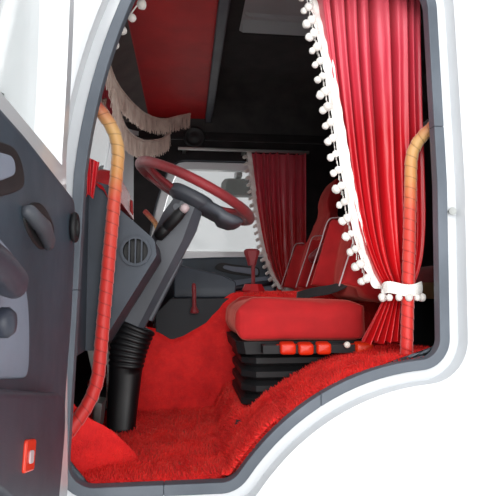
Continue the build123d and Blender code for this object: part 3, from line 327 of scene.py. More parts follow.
def metal(name, colour, roughness, scratch=0.08):
    # bare or plated steel with fine random scratches
    material, tree, bsdf, at = newMaterial(name, **{"Metallic": 1.0, "Base Color": srgb(colour)})
    varyRoughness(tree, bsdf, cloudy(tree, at, 60.0, 8.0), roughness - scratch, roughness + scratch)
    return material


def enamel(name, dark, light, roughness, coat):
    # sprayed enamel: faint orange peel, road film in soft clouds
    material, tree, bsdf, at = newMaterial(name, **{
        "Roughness": roughness, "Coat Weight": coat, "Coat Roughness": 0.08})
    twoTone(tree, bsdf, cloudy(tree, at, 2.2, 8.0, 0.6), dark, light, 0.25, 0.6)
    addBump(tree, bsdf, cloudy(tree, at, 260.0, 1.0), 0.06, 0.0008)
    return material


def longPile(name, shadedRoot, dark, light):
    # acrylic plush: matted clumps, with painted shade at the roots, deep red between the tufts and brighter on their
    # tips
    material, tree, bsdf, at = newMaterial(name, **{
        "Roughness": 0.8, "Sheen Weight": 0.6, "Sheen Roughness": 0.35, "Sheen Tint": srgb("#ff8a74")})
    clump = cloudy(tree, at, 13.0, 9.0, 0.7)
    colour = twoTone(tree, bsdf, clump, dark, light, 0.36, 0.6)
    # painted shade: each tuft's root is blended darker than its tip
    tip = addNode(tree, "ShaderNodeAttribute", {"attribute_name": "tipShare"})
    blend = addNode(tree, "ShaderNodeMix", {"data_type": "RGBA"}, {
        "Factor": remap(tree, tip.outputs["Fac"], 0.62, 1.0)})
    blend.inputs[6].default_value = srgb(shadedRoot)
    tree.links.new(colour, blend.inputs[7])
    tree.links.new(blend.outputs[2], bsdf.inputs["Base Color"])
    under = addBump(tree, bsdf, cloudy(tree, at, 240.0, 4.0), 0.5, 0.003)
    addBump(tree, bsdf, clump, 0.4, 0.010, under)
    return material


def byHeight(tree, at, low, high, scale, detail, amount, stops):
    # colour that changes with height, its edges drawn about by noise
    parts = addNode(tree, "ShaderNodeSeparateXYZ", inputs={"Vector": at})
    shift = addNode(tree, "ShaderNodeMath", {"operation": "MULTIPLY_ADD"}, {
        0: cloudy(tree, at, scale, detail), 1: amount,
        2: remap(tree, parts.outputs["Z"], fromMin=low, fromMax=high)})
    return colourStops(tree, shift.outputs["Value"], stops)


def woundTape(name):
    # bias tape wound on a tube: each turn ends in an edge darkened by painted shade, pale at hand height and red lower
    # down
    material, tree, bsdf, at = newMaterial(name, **{"Roughness": 0.48, "Sheen Weight": 0.35})
    colour = byHeight(tree, at, 0.5, 1.3, 9.0, 3.0, 0.10, (
        (0.0, "#c81c16"), (0.45, "#cc2a20"), (0.66, "#cc4430"), (0.76, "#c8884c"), (0.90, "#c89c60"),
        (1.0, "#b03a30")))
    turns = addNode(tree, "ShaderNodeUVMap", {"uv_map": "winding"})
    along = addNode(tree, "ShaderNodeSeparateXYZ", inputs={"Vector": turns.outputs["UV"]})
    within = addNode(tree, "ShaderNodeMath", {"operation": "FRACT"}, {0: along.outputs["X"]})
    # painted shade along the lip of each turn
    edge = remap(tree, within.outputs["Value"], 0.45, 1.0, 0.0, 0.12)
    shaded = addNode(tree, "ShaderNodeMix", {"data_type": "RGBA", "blend_type": "MULTIPLY"}, {"Factor": 1.0})
    grey = addNode(tree, "ShaderNodeCombineColor", inputs={"Red": edge, "Green": edge, "Blue": edge})
    tree.links.new(colour, shaded.inputs[6])
    tree.links.new(grey.outputs["Color"], shaded.inputs[7])
    tree.links.new(shaded.outputs[2], bsdf.inputs["Base Color"])
    addBump(tree, bsdf, cloudy(tree, at, 320.0, 2.0), 0.25, 0.0008)
    return material


def sheenPaintedSatin(name):
    # polyester satin, pinker near its heading as painted sheen and full red below
    material, tree, bsdf, at = newMaterial(name, **{
        "Roughness": 0.36, "Sheen Weight": 0.35, "Sheen Roughness": 0.3, "Sheen Tint": srgb("#ffb0b4")})
    # painted sheen: the cloth is paler pink the higher it hangs
    colour = byHeight(tree, at, 0.8, 1.75, 4.0, 4.0, 0.3, (
        (0.15, "#c00810"), (0.55, "#b61420"), (0.85, "#c4384a"), (1.0, "#c84a58")))
    tree.links.new(colour, bsdf.inputs["Base Color"])
    threads = addNode(tree, "ShaderNodeTexWave", {"bands_direction": "X"},
                      {"Vector": at, "Scale": 100.0, "Distortion": 2.0, "Detail": 2.0})
    addBump(tree, bsdf, threads.outputs["Fac"], 0.2, 0.0003)
    return material


def glazing(name, tint, alphaValue):
    # toughened float glass, seen as a faint green film with a little dust
    material, tree, bsdf, at = newMaterial(name, **{
        "Base Color": srgb(tint), "Roughness": 0.03, "Alpha": alphaValue, "Specular IOR Level": 0.6})
    varyRoughness(tree, bsdf, cloudy(tree, at, 5.0, 8.0), 0.02, 0.09)
    return material


whiteEnamel = enamel("whiteTwoPackEnamel", "#cdd1d5", "#d6d9dc", 0.32, 0.5)
greyPrimer = enamel("darkStoneChipPrimer", "#1c1e22", "#282a2e", 0.75, 0.0)
chassisBlack = enamel("blackChassisEnamel", "#141416", "#1e1e20", 0.5, 0.1)
windowGlass = glazing("toughenedFloatGlass", "#dfeeea", 0.16)
darkFelt = clothWeave("darkNeedleFelt", "#141214", "#241f20", 0.95, 2.0, 0.0006, 0.15)
roofKnit = clothWeave("greyFoamBackedKnit", "#2c2b2c", "#3e3b3a", 0.95, 2.0, 0.0005, 0.2)
sealRubber = grainedPlastic("epdmSealRubber", "#4e555e", "#646b74", 0.5, 2.5, 0.0002)
zincSteel = metal("zincPlatedSteel", "#b9bbb8", 0.32)
stepAlloy = metal("chequeredAluminium", "#9a9b9d", 0.45)
blackAbs = grainedPlastic("blackGrainedAbs", "#0d0e10", "#17181b", 0.5)
dashTpo = grainedPlastic("blueGreyGrainedTpo", "#30363f", "#3e454f", 0.5)
columnAbs = grainedPlastic("greyColumnAbs", "#44474e", "#565a62", 0.4)
doorTpo = grainedPlastic("slateDoorTpo", "#2e3a44", "#3e4c58", 0.46)
redVinyl = leather("redLeatherette", "#b0161c", "#cc2026", 0.42)
wheelLeather = leather("dyedSaddleLeather", "#640a12", "#8a1620", 0.40, 2.4, 0.0005, 0.15)
bootRubber = grainedPlastic("ribbedNeoprene", "#0a0a0c", "#141417", 0.4, 3.0, 0.0001)
bellowsRubber = grainedPlastic("matteNeoprene", "#08080a", "#121215", 0.6, 3.0, 0.0002)
seatVelour = clothWeave("redSeatVelour", "#9c0a10", "#be1218", 0.85, 2.2, 0.0007, 0.55, "#ff9080")
birchPly = enamel("birchPlywood", "#8a6438", "#b08850", 0.7, 0.0)
mattressTick = clothWeave("redMattressTicking", "#6d0c12", "#8c141a", 0.9, 2.4, 0.0006, 0.3)
redFur = longPile("redAcrylicPlush", "#c0040a", "#d4080e", "#ff2420")
redSatin = sheenPaintedSatin("redPolyesterSatin")
wrapTape = woundTape("woundBiasTape")

whiteLace = clothWeave("cottonLace", "#d9d6d0", "#f6f4f0", 0.85, 3.2, 0.0010, 0.3)
creamRayon = clothWeave("rayonFringe", "#b79c90", "#e9d9cc", 0.55, 2.0, 0.0002, 0.4, "#fff0e4")
woolPompom = clothWeave("woolPompom", "#cfc9c2", "#f4f1ec", 0.95, 2.0, 0.0008, 0.5)
orangeAbs = grainedPlastic("orangeRedMouldedAbs", "#c8200a", "#e4380e", 0.34, 2.5, 0.0001)
paleAbs = grainedPlastic("ivoryMouldedAbs", "#d8d4c8", "#efece2", 0.35, 2.5, 0.0001)
beltWebbing = clothWeave("polyesterWebbing", "#101012", "#1c1c20", 0.7, 2.6, 0.0004, 0.2)
palePiping = leather("paleVinylPiping", "#b9a3a6", "#d8c6c8", 0.4, 2.5, 0.0002)
brownFelt = clothWeave("brownHeaderFelt", "#4a4240", "#5c5450", 0.9, 2.0, 0.0006, 0.2)
paleDoorTpo = grainedPlastic("paleDoorInsertTpo", "#6c7684", "#8890a0", 0.5)
darkDoorTpo = grainedPlastic("darkDoorPocketTpo", "#282b36", "#3a3e4a", 0.42)
redLens = grainedPlastic("redAcrylicLens", "#d8301c", "#ee4a30", 0.2, 1.0, 0.0001)

slotFinish = {
    "body_paint": whiteEnamel, "undercoat": greyPrimer, "chassis_paint": chassisBlack, "clear_glass": windowGlass,
    "dark_lining": darkFelt, "pale_lining": roofKnit, "seal_rubber": sealRubber, "plain_steel": zincSteel,
    "step_metal": stepAlloy, "black_plastic": blackAbs, "dash_plastic": dashTpo, "grey_plastic": columnAbs,
    "door_plastic": doorTpo, "red_leather": redVinyl, "dark_red_leather": wheelLeather, "boot_rubber": bootRubber,
    "bellows_black": bellowsRubber, "seat_fabric": seatVelour, "plywood": birchPly,
    "mattress_fabric": mattressTick, "red_fur": redFur, "curtain_satin": redSatin, "wrap_cloth": wrapTape,
    "red_plastic": orangeAbs,
}
for entry in frame["record"]["subparts"]:
    node, finish = nodes[entry["node"]], slotFinish[entry["material_slot"]]
    for slot in node.material_slots:
        slot.material = finish
    if not node.material_slots:
        node.data.materials.append(finish)
print("materials set")


# hard pieces: the CAD shape with its facets merged, rounded edges and even shading

bodyOf = {name: body for body, names in frame["record"]["behaviour"]["bodies"].items() for name in names}
slotOf = {entry["node"]: entry["material_slot"] for entry in frame["record"]["subparts"]}
hardPieces = {
    # node: edge radius in millimetres
    "side_wall_left": 4, "side_wall_right": 4, "rear_wall": 4, "front_panel": 3, "roof_shell": 5, "hatch_lid": 4,
    "door_shell_left": 3, "door_shell_right": 3, "headliner": 2, "wall_lining": 2, "door_seals": 3,
    "dashboard": 7, "binnacle": 10, "centre_console": 7, "gear_gaiter": 5, "steering_column": 8,
    "overhead_shelf": 5, "seat_bases": 5, "seat_levers": 3,
    "side_mirrors": 14, "kerb_mirror": 10, "entry_steps": 3, "underframe": 3,
    "engine_tunnel": 3, "wipers": 2, "pedals": 3, "gear_lever": 5, "curtain_tracks": 2, "bunk_base": 2,
}
roundingValues = {"steps": 3, "fromAngle": 28, "flatWithin": 0.6, "closeFitWithin": 0.02}
cutAway = (
    # node, point in millimetres, direction in which its copy is cut away
    ("steering_column", (0, -696, 0), (0, -1, 0)),
    ("dashboard", (205, 0, 1050), (0.24, 0, 1)),
)


def roundedCopy(nodeName, edgeMm):
    shape = weldedShape(nodes[nodeName].data)
    flatWithin = roundingValues["closeFitWithin" if bodyOf[nodeName].endswith("door") or "side_wall" in nodeName
                                else "flatWithin"]
    bmesh.ops.dissolve_limit(shape, angle_limit=math.radians(flatWithin), verts=shape.verts, edges=shape.edges)
    for nodeOf, place, out in cutAway:
        if nodeOf == nodeName:
            everything = list(shape.verts) + list(shape.edges) + list(shape.faces)
            bmesh.ops.bisect_plane(shape, geom=everything, plane_co=inMetres(place), plane_no=out, clear_outer=True)
            bmesh.ops.holes_fill(shape, edges=[edge for edge in shape.edges if edge.is_boundary], sides=0)
    mesh = meshFrom(shape, nodeName + "Shell", slotFinish[slotOf[nodeName]])
    piece = placePiece(nodeName + "_shell", mesh, bodyOf[nodeName], [nodeName])
    bevel = piece.modifiers.new("edges", "BEVEL")
    bevel.width = edgeMm / 1000
    bevel.segments = roundingValues["steps"]
    bevel.limit_method = "ANGLE"
    bevel.angle_limit = math.radians(roundingValues["fromAngle"])
    weighted = piece.modifiers.new("shading", "WEIGHTED_NORMAL")
    weighted.keep_sharp = True
    return bakeModifiers(piece)


for nodeName, edgeMm in hardPieces.items():
    made = roundedCopy(nodeName, edgeMm)
    if nodeName == "overhead_shelf":
        # the slope between the screen and the shelf's padded underside is bare felt
        made.data.materials.append(brownFelt)
        for polygon in made.data.polygons:
            polygon.material_index = 1 if polygon.center.x < 0.186 else 0
    if nodeName == "dashboard":
        # the vents are black behind their louvres' rims
        made.data.materials.append(blackAbs)
        for polygon in made.data.polygons:
            corners = [made.data.vertices[index].co for index in polygon.vertices]
            reach = max(math.hypot(corner.x - 0.310, corner.z - 0.858) for corner in corners)
            polygon.material_index = 1 if reach < 0.036 and abs(polygon.center.y) > 0.99 else 0
print("hard pieces rounded")


# steering wheel: stitched leather rim and spokes over a moulded hub

wheelValues = {
    "centre": (481, -620, 1102), "tilt": 26, "radius": 222, "grip": 17,
    "spokes": (-30, 30, 150, 210), "stitchSpacing": 7.0, "stitchSize": 1.1,
}
wheelTilt = math.radians(wheelValues["tilt"])
wheelAcross = Vector((math.cos(wheelTilt), 0, -math.sin(wheelTilt)))
wheelAxis = Vector((math.sin(wheelTilt), 0, math.cos(wheelTilt)))


def onWheel(radius, turnDeg, lift):
    turn = math.radians(turnDeg)
    flat = wheelAcross * (radius * math.cos(turn)) + Vector((0, radius * math.sin(turn), 0))
    return Vector(wheelValues["centre"]) + flat + wheelAxis * lift


def rimPoint(around, section):
    turn = 2 * math.pi * section
    spokeNear = max(math.cos(math.radians(around * 360 - s)) for s in wheelValues["spokes"])
    swell = 1 + 0.10 * max(0.0, (spokeNear - 0.955) / 0.045)
    grip = wheelValues["grip"] * swell * (1 + 0.012 * math.sin(around * 2 * math.pi * 40))
    return onWheel(wheelValues["radius"] + grip * math.cos(turn) * 0.94, around * 360, grip * math.sin(turn))


rimColumns, rimSections = 200, 20
rimPoints = [rimPoint(i / rimColumns, j / rimSections) for i in range(rimColumns) for j in range(rimSections)]
placeSolid("wheel_rim", *closedGrid(rimPoints, rimSections), wheelLeather, "dark_red_leather", "wheel",
           ["steering_wheel"])


def superRing(place, across, other, width, height, power=3.2, count=28):
    # rounded rectangle about a point
    ring = []
    for i in range(count):
        turn = 2 * math.pi * i / count
        c, s = math.cos(turn), math.sin(turn)
        reachX = math.copysign(abs(c) ** (2 / power), c) * width / 2
        reachY = math.copysign(abs(s) ** (2 / power), s) * height / 2
        ring.append(Vector(place) + across * reachX + other * reachY)
    return ring


xAxis, yAxis, zAxis = Vector((1, 0, 0)), Vector((0, 1, 0)), Vector((0, 0, 1))
hubSections = ((-59.6, 104, 124), (-56, 118, 138), (-42, 168, 206), (-36, 176, 216), (-14, 170, 211), (-8, 150, 190),
               (-4.6, 110, 150))
hubRings = [superRing(onWheel(0, 0, lift), wheelAcross, yAxis, w, h) for lift, w, h in hubSections]
placeLoft("wheel_hub", hubRings, columnAbs, "grey_plastic", "wheel")
spokeSections = ((62, -30, 30, 70), (100, -30, 26, 66), (150, -24, 22, 56), (190, -14, 20, 50), (210, -5, 22, 62),
                 (222, -1, 24, 86))
coverSections = ((20, -34, 44, 150), (60, -34, 48, 196), (110, -36, 46, 214), (126, -42, 56, 216), (165, -40, 50, 206),
                 (188, -34, 34, 186), (200, -28, 12, 150))
coverRings = [superRing(onWheel(reach, 0, lift), yAxis, wheelAxis, width, depth, 3.4, 32)
              for reach, lift, depth, width in coverSections]
placeLoft("wheel_cover", coverRings, columnAbs, "grey_plastic", "wheel")
for number, turnDeg in enumerate(wheelValues["spokes"]):
    spokeSide = onWheel(1, turnDeg + 90, 0) - Vector(wheelValues["centre"])
    spokeRings = [superRing(onWheel(reach, turnDeg, lift), spokeSide, wheelAxis, width, depth, 2.6, 18)
                  for reach, lift, depth, width in spokeSections]
    placeLoft(f"wheel_spoke_{number}", spokeRings, wheelLeather, "dark_red_leather", "wheel")
print("steering wheel made")


# what repeats along a path: stitches, pompoms and fringe threads

def newTree(name, taken, inputs, made):
    tree = bpy.data.node_groups.new(name, "GeometryNodeTree")
    face = tree.interface
    face.new_socket(taken, in_out="INPUT", socket_type="NodeSocketGeometry")
    sockets = {label: face.new_socket(label, in_out="INPUT", socket_type=kind) for label, kind in inputs}
    face.new_socket(made, in_out="OUTPUT", socket_type="NodeSocketGeometry")
    return tree, sockets, addNode(tree, "NodeGroupInput").outputs


def scattered(tree, seed, points, unit, turns, sizes, finish, made, backing=None):
    # a realised copy of the unit on each point, each of its own size, then the material
    grow = addNode(tree, "FunctionNodeRandomValue", inputs={"Seed": seed})
    grow.inputs[2].default_value, grow.inputs[3].default_value = sizes
    placed = addNode(tree, "GeometryNodeInstanceOnPoints", inputs={
        "Points": points, "Instance": unit, "Rotation": turns, "Scale": grow.outputs[1]})
    whole = addNode(tree, "GeometryNodeRealizeInstances", inputs={"Geometry": placed.outputs["Instances"]})
    if backing is not None:
        both = addNode(tree, "GeometryNodeJoinGeometry", inputs={"Geometry": backing})
        tree.links.new(whole.outputs["Geometry"], both.inputs["Geometry"])
        whole = both
    smooth = addNode(tree, "GeometryNodeSetShadeSmooth", inputs={"Geometry": whole.outputs["Geometry"]})
    finished = addNode(tree, "GeometryNodeSetMaterial", inputs={
        "Geometry": smooth.outputs["Geometry"], "Material": finish})
    addNode(tree, "NodeGroupOutput", inputs={made: finished.outputs["Geometry"]})


def grownOn(piece, name, tree, sockets, values):
    modifier = piece.modifiers.new(name, "NODES")
    modifier.node_group = tree
    for label, value in values.items():
        modifier[sockets[label].identifier] = value
    return bakeModifiers(piece)


def repeatAlong(name, path, kind, spacingMm, sizeMm, finish, body="cab", seed=1,
                lengthMm=0.0):
    line = bpy.data.meshes.new(name)
    line.from_pydata([inMetres(p) for p in path], [(i, i + 1) for i in range(len(path) - 1)], [])
    piece = placePiece(name, line, body)
    tree, sockets, given = newTree(name + "Tree", "Path", (
        ("Spacing", "NodeSocketFloat"), ("Size", "NodeSocketFloat"), ("Length", "NodeSocketFloat"),
        ("Seed", "NodeSocketInt")), "Pieces")
    curve = addNode(tree, "GeometryNodeMeshToCurve", inputs={"Mesh": given["Path"]})
    spaced = addNode(tree, "GeometryNodeResampleCurve", {"mode": "LENGTH"},
                     {"Curve": curve.outputs["Curve"], "Length": given["Spacing"]})
    turn = addNode(tree, "FunctionNodeRandomValue", {"data_type": "FLOAT_VECTOR"}, {"Seed": given["Seed"]})
    turns = turn.outputs["Value"]
    if kind == "pompom":
        ball = addNode(tree, "GeometryNodeMeshIcoSphere", inputs={"Radius": given["Size"], "Subdivisions": 2})
        rough = addNode(tree, "ShaderNodeTexNoise", inputs={"Scale": 420.0, "Detail": 2.0})
        push = addNode(tree, "ShaderNodeVectorMath", {"operation": "SCALE"}, {
            0: addNode(tree, "GeometryNodeInputNormal").outputs["Normal"]})
        depth = addNode(tree, "ShaderNodeMath", {"operation": "MULTIPLY"}, {
            0: rough.outputs["Fac"], 1: given["Size"]})
        tree.links.new(depth.outputs["Value"], push.inputs["Scale"])
        unit = addNode(tree, "GeometryNodeSetPosition", inputs={
            "Geometry": ball.outputs["Mesh"], "Offset": push.outputs["Vector"]}).outputs["Geometry"]
        turn.inputs["Max"].default_value = (6.28, 6.28, 6.28)
    elif kind == "thread":
        cone = addNode(tree, "GeometryNodeMeshCone", {"fill_type": "NONE"}, {
            "Vertices": 4, "Radius Top": given["Size"], "Radius Bottom": given["Size"], "Depth": given["Length"]})
        low = addNode(tree, "ShaderNodeMath", {"operation": "MULTIPLY"}, {0: given["Length"], 1: -1.0})
        drop = addNode(tree, "ShaderNodeCombineXYZ", inputs={"Z": low.outputs["Value"]})
        unit = addNode(tree, "GeometryNodeTransform", inputs={
            "Geometry": cone.outputs["Mesh"], "Translation": drop.outputs["Vector"]}).outputs["Geometry"]
        turn.inputs["Min"].default_value = (-0.07, -0.07, 0)
        turn.inputs["Max"].default_value = (0.07, 0.07, 1.6)
    else:
        bead = addNode(tree, "GeometryNodeMeshUVSphere", inputs={
            "Segments": 6, "Rings": 4, "Radius": given["Size"]})
        unit = addNode(tree, "GeometryNodeTransform", inputs={
            "Geometry": bead.outputs["Mesh"], "Scale": (1.0, 1.0, 2.6)}).outputs["Geometry"]
        turns = addNode(tree, "FunctionNodeAlignEulerToVector", {"axis": "Z"}, {
            "Vector": addNode(tree, "GeometryNodeInputTangent").outputs["Tangent"]}).outputs["Rotation"]
    scattered(tree, given["Seed"], spaced.outputs["Curve"], unit, turns, (0.82, 1.12), finish, "Pieces")
    return grownOn(piece, "repeat", tree, sockets, {
        "Spacing": spacingMm / 1000, "Size": sizeMm / 1000, "Length": lengthMm / 1000, "Seed": seed})


stitchPath = [onWheel(wheelValues["radius"] - wheelValues["grip"] * 0.95, i * 3, 2) for i in range(121)]
repeatAlong("wheel_stitches", stitchPath, "stitch", wheelValues["stitchSpacing"], wheelValues["stitchSize"],
            darkFelt, "wheel")
print("stitches made")


# grab rails wound with tape

railValues = {"radius": 16.5, "tapeStep": 31, "tapeThick": 2.4, "bend": 70}
railRoutes = {
    # name: corners, with the feet's ends
    "front_rail": ((118, -1126, 336), (218, -1068, 474), (266, -1068, 1176), (166, -1126, 1288)),
    "rear_rail": ((1076, -1068, 566), (1106, -1068, 1172), (1174, -1126, 1240)),
}


def tapeRadius(distance, turn):
    wound = (distance / railValues["tapeStep"] + turn / (2 * math.pi)) % 1.0
    lip = min(1.0, wound * 9) * (1 - 0.75 * wound)
    return railValues["radius"] + railValues["tapeThick"] * lip


for routeName, corners in railRoutes.items():
    for hand, label in ((1, "left"), (-1, "right")):
        path = roundedPath([(x, y * hand, z) for x, y, z in corners], railValues["bend"], 3.0)
        sides = 22
        points, faces = tubeAlong(path, tapeRadius, sides)
        mesh = newMesh("railTape", points, faces, slotFinish["wrap_cloth"])
        winding = mesh.uv_layers.new(name="winding")
        for number, polygon in enumerate(mesh.polygons[:(len(path) - 1) * sides]):
            ring, side = divmod(number, sides)
            corner = ((ring, side), (ring, side + 1), (ring + 1, side + 1), (ring + 1, side))
            for loop, (along, around) in zip(polygon.loop_indices, corner):
                winding.data[loop].uv = (along * 3.0 / railValues["tapeStep"] + around / sides, around / sides)
        placePiece(f"{routeName}_{label}", facingOut(mesh))
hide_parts("grab_rails")
print("rails wound")


# curtains: pleated satin drawn to the rear rail, gathered in a tie there

curtainValues = {"topZ": 1688, "tieZ": 752, "hemZ": 598, "middleY": 1012, "depth": 29}
foldWidths = (0.0, 0.105, 0.245, 0.375, 0.505, 0.70, 0.86, 1.0)


def gatherShare(u, v):
    # the leading edge leans towards the tie from the top, the trailing edge sweeps in only near it
    leading = 0.68 * v ** 1.05 + 0.32 * v ** 7
    trailing = 0.12 * v + 0.88 * v ** 11
    return leading + (trailing - leading) * u ** 0.8


def foldDepth(u):
    # broad flat folds with narrow deep valleys between them
    for number, (start, end) in enumerate(zip(foldWidths, foldWidths[1:])):
        if u <= end:
            phase = (u - start) / (end - start)
            break
    valley = math.exp(-((phase - 0.0) / 0.13) ** 2) + math.exp(-((phase - 1.0) / 0.09) ** 2)
    lean = (phase - 0.5) * (1 if number % 3 else -0.7)
    small = 0.12 * math.sin(phase * math.pi * 3 + number)
    return 1 - 2.0 * min(1.0, valley) + lean * 0.55 + small


def curtainPoint(u, v, hand, shift, wide=1.0):
    z = curtainValues["topZ"] + (curtainValues["tieZ"] - curtainValues["topZ"]) * v
    top, low = 836 + 336 * u, 1030 + 84 * u
    slide = 0.010 * math.sin(5 * v + 9 * u) * math.sin(math.pi * u)
    across = top + (low - top) * gatherShare(u, v) + slide * 336 * (1 - v)
    bundle = 1 - 0.42 * v ** 6
    soft = 1 + 0.25 * noise.noise((u * 4, v * 2.2, 4.0 + hand))
    drawn = min(1.0, max(0.0, u + 0.02 * math.sin(3 * v + u)))
    depth = curtainValues["depth"] * bundle * soft * foldDepth(drawn)
    ripple = 1.6 * noise.noise((u * 26, v * 9, 1.0))
    y = curtainValues["middleY"] + 4 + depth + ripple
    return Vector((shift + 1100 + (across - 1100) * wide, -hand * y, z))


def tailPoint(u, v, hand, shift):
    top, low = curtainValues["tieZ"] - 14, curtainValues["hemZ"]
    z = top + (low - top) * v + 5 * math.sin(u * 23) * v
    spread = 0.55 + 0.75 * v
    across = 1062 - 46 * v + (u - 0.5) * 92 * spread
    swing = 2 * math.pi * 6 * u
    return Vector((shift + across, -hand * (1020 + (9 + 17 * v) * math.sin(swing + 0.5 * v)), z))


def clothSheet(name, place, columns, rows, finish, flat, inPlaceOf=()):
    points, faces = surfaceGrid(place, columns, rows)
    mesh = newMesh(name, points, faces, finish)
    layer = mesh.uv_layers.new(name="weave")
    for loop in mesh.loops:
        down, across = divmod(loop.vertex_index, columns)
        layer.data[loop.index].uv = (across / (columns - 1) * flat[0], down / (rows - 1) * flat[1])
    piece = placePiece(name, mesh, "cab", inPlaceOf)
    return piece


laceRows = (
    # pompoms' distance out from the curtain's edge along x and y, and their seed
    (-32, 12, 3), (-44, 2, 9),
)


def curtainSet(label, hand, shift, wide):
    cloth = f"curtain_{label}_cloth"
    clothSheet(cloth, lambda u, v: curtainPoint(u, v, hand, shift, wide), 180, 90, redSatin, (0.86, 0.95),
               [f"curtain_{label}"])
    clothSheet(f"curtain_{label}_tail", lambda u, v: tailPoint(u, v, hand, shift), 90, 26, redSatin,
               (0.26, 0.16))
    edge = [curtainPoint(0, i / 60, hand, shift, wide) for i in range(61)]

    def lacePoint(u, v):
        ruffle = Vector((10 - 34 * u, -hand * (9 + 3 * math.sin(v * 90 + 4 * u)), 4 * math.sin(v * 120) * u))
        return curtainPoint(0, v, hand, shift, wide) + ruffle

    clothSheet(f"curtain_{label}_lace", lacePoint, 8, 160, whiteLace, (0.036, 1.0))
    for row, (outX, outY, seed) in enumerate(laceRows):
        path = [p + Vector((outX, -hand * outY, -8 * row)) for p in edge[2:-2]]
        repeatAlong(f"curtain_{label}_pompoms_{row}", path, "pompom", 46, 8.5, woolPompom, seed=seed)
        repeatAlong(f"curtain_{label}_loops_{row}", [p + Vector((14, 0, 24)) for p in path], "thread", 15, 1.1,
                    woolPompom, seed=seed + 60, lengthMm=26)


def tieBand(label, hand, shift):
    # tie band round curtain and rail, with pompoms below
    middle = Vector((shift + 1079, -hand * 1038, 0))
    turns = [2 * math.pi * i / 40 for i in range(40)]
    ring = [middle + Vector((58 * math.cos(turn), -hand * 50 * math.sin(turn), 0)) for turn in turns]

    def bandPoint(u, v):
        base = ring[int(round(u * 39)) % 40]
        bulge = 1 + 0.04 * math.sin(math.pi * v)
        return middle + (base - middle) * bulge + Vector((0, 0, 770 - 34 * v + 5 * math.sin(u * 19)))

    clothSheet(f"curtain_{label}_tie", bandPoint, 41, 7, whiteLace, (0.35, 0.036))
    path = [p + Vector((0, 0, 728)) for p in (*ring, ring[0])]
    repeatAlong(f"curtain_{label}_tie_pompoms", path, "pompom", 27, 8.0, woolPompom, seed=21)


for label, hand, shift, wide in (("left", 1, 0, 1.0), ("right", -1, 80, 1.15)):
    curtainSet(label, hand, shift, wide)
    tieBand(label, hand, shift)
print("curtains hung")


# swags over the screen: a braid along each, with two layers of thread below it

swagValues = {"threadSpacing": 4.2, "threadSize": 1.5, "threadLength": 92, "braidWidth": 15}
swagRoutes = {
    # name: points along the upper edge of the fringe, from the driver's screen corner to the shelf's far end
    "garland_upper": ((170, -840, 1650), (162, -620, 1580), (166, -250, 1612), (214, 350, 1716), (301, 700, 1796),
                      (396, 880, 1880), (470, 960, 1925)),
    "garland_lower": ((176, -560, 1500), (183, -380, 1448), (190, -220, 1448), (202, 50, 1492), (236, 300, 1545),
                      (303, 560, 1633), (345, 700, 1712)),
}


def curveThrough(knots, perSpan=10):
    # Catmull-Rom curve through a few points
    knots = [Vector(k) for k in knots]
    knots = [knots[0] * 2 - knots[1], *knots, knots[-1] * 2 - knots[-2]]
    line = []
    for a, b, c, d in zip(knots, knots[1:], knots[2:], knots[3:]):
        for i in range(perSpan):
            t = i / perSpan
            line.append(0.5 * (2 * b + (c - a) * t + (2 * a - 5 * b + 4 * c - d) * t * t
                               + (3 * b - a - 3 * c + d) * t ** 3))
    line.append(knots[-2])
    return line


def fringeOn(name, line, seed, length=swagValues["threadLength"]):
    half, spacing, size = swagValues["braidWidth"] / 2, swagValues["threadSpacing"], swagValues["threadSize"]
    points, faces = tubeAlong(line, lambda distance, turn: half * (0.5 + 0.5 * abs(math.sin(turn)))
                              * (1 + 0.1 * math.sin(distance * 0.9)), 8)
    placeSolid(name + "_braid", points, faces, creamRayon, "curtain_satin")
    repeatAlong(name + "_threads", line, "thread", spacing, size, creamRayon, seed=seed, lengthMm=length)
    behind = [p + Vector((-5, 0, 0)) for p in line]
    repeatAlong(name + "_threads_behind", behind, "thread", spacing * 1.2, size, creamRayon, seed=seed + 5,
                lengthMm=length * 0.94)


for number, (name, knots) in enumerate(swagRoutes.items()):
    fringeOn(name, curveThrough(knots), 31 + 7 * number)
print("fringes hung")


# valance over the screen: scalloped satin with a fringe on its lower edge

valanceValues = {"half": 858, "topZ": 1836, "lowZ": 1722, "drop": 56, "scallops": 5, "x": 24}


def valanceEdge(u):
    scallop = abs(math.sin(math.pi * valanceValues["scallops"] * u)) ** 0.8
    return valanceValues["lowZ"] - valanceValues["drop"] * scallop


def valancePoint(u, v):
    y = valanceValues["half"] * (2 * u - 1)
    z = valanceValues["topZ"] + (valanceEdge(u) - valanceValues["topZ"]) * v
    fold = 7 * math.sin(u * 150) * (1 - 0.35 * v) + 3 * math.sin(u * 61 + 2 * v)
    return Vector((valanceValues["x"] + fold, y, z))


clothSheet("valance_cloth", valancePoint, 420, 14, redSatin, (2.05, 0.165),
           ["screen_valance"])
valanceLine = [valancePoint(i / 240, 1) + Vector((3, 0, 0)) for i in range(241)]
fringeOn("valance_fringe", valanceLine, 77, length=44)
print("valance hung")


# fur: a lumpy backing over each carpet with matted tufts standing on it

furValues = {"lumpMm": 10, "lumpSize": 0.11, "gridMm": 26, "tuftMm": 12, "tuftWidthMm": 2.5, "lean": 0.8}
furPieces = {
    # name: node, side of the cab kept, tufts
    "fur_floor_near": ("floor_carpets", -1, 20000),
    "fur_floor_far": ("floor_carpets", 1, 3000),
    "fur_tunnel": ("tunnel_cover", 0, 8000),
}


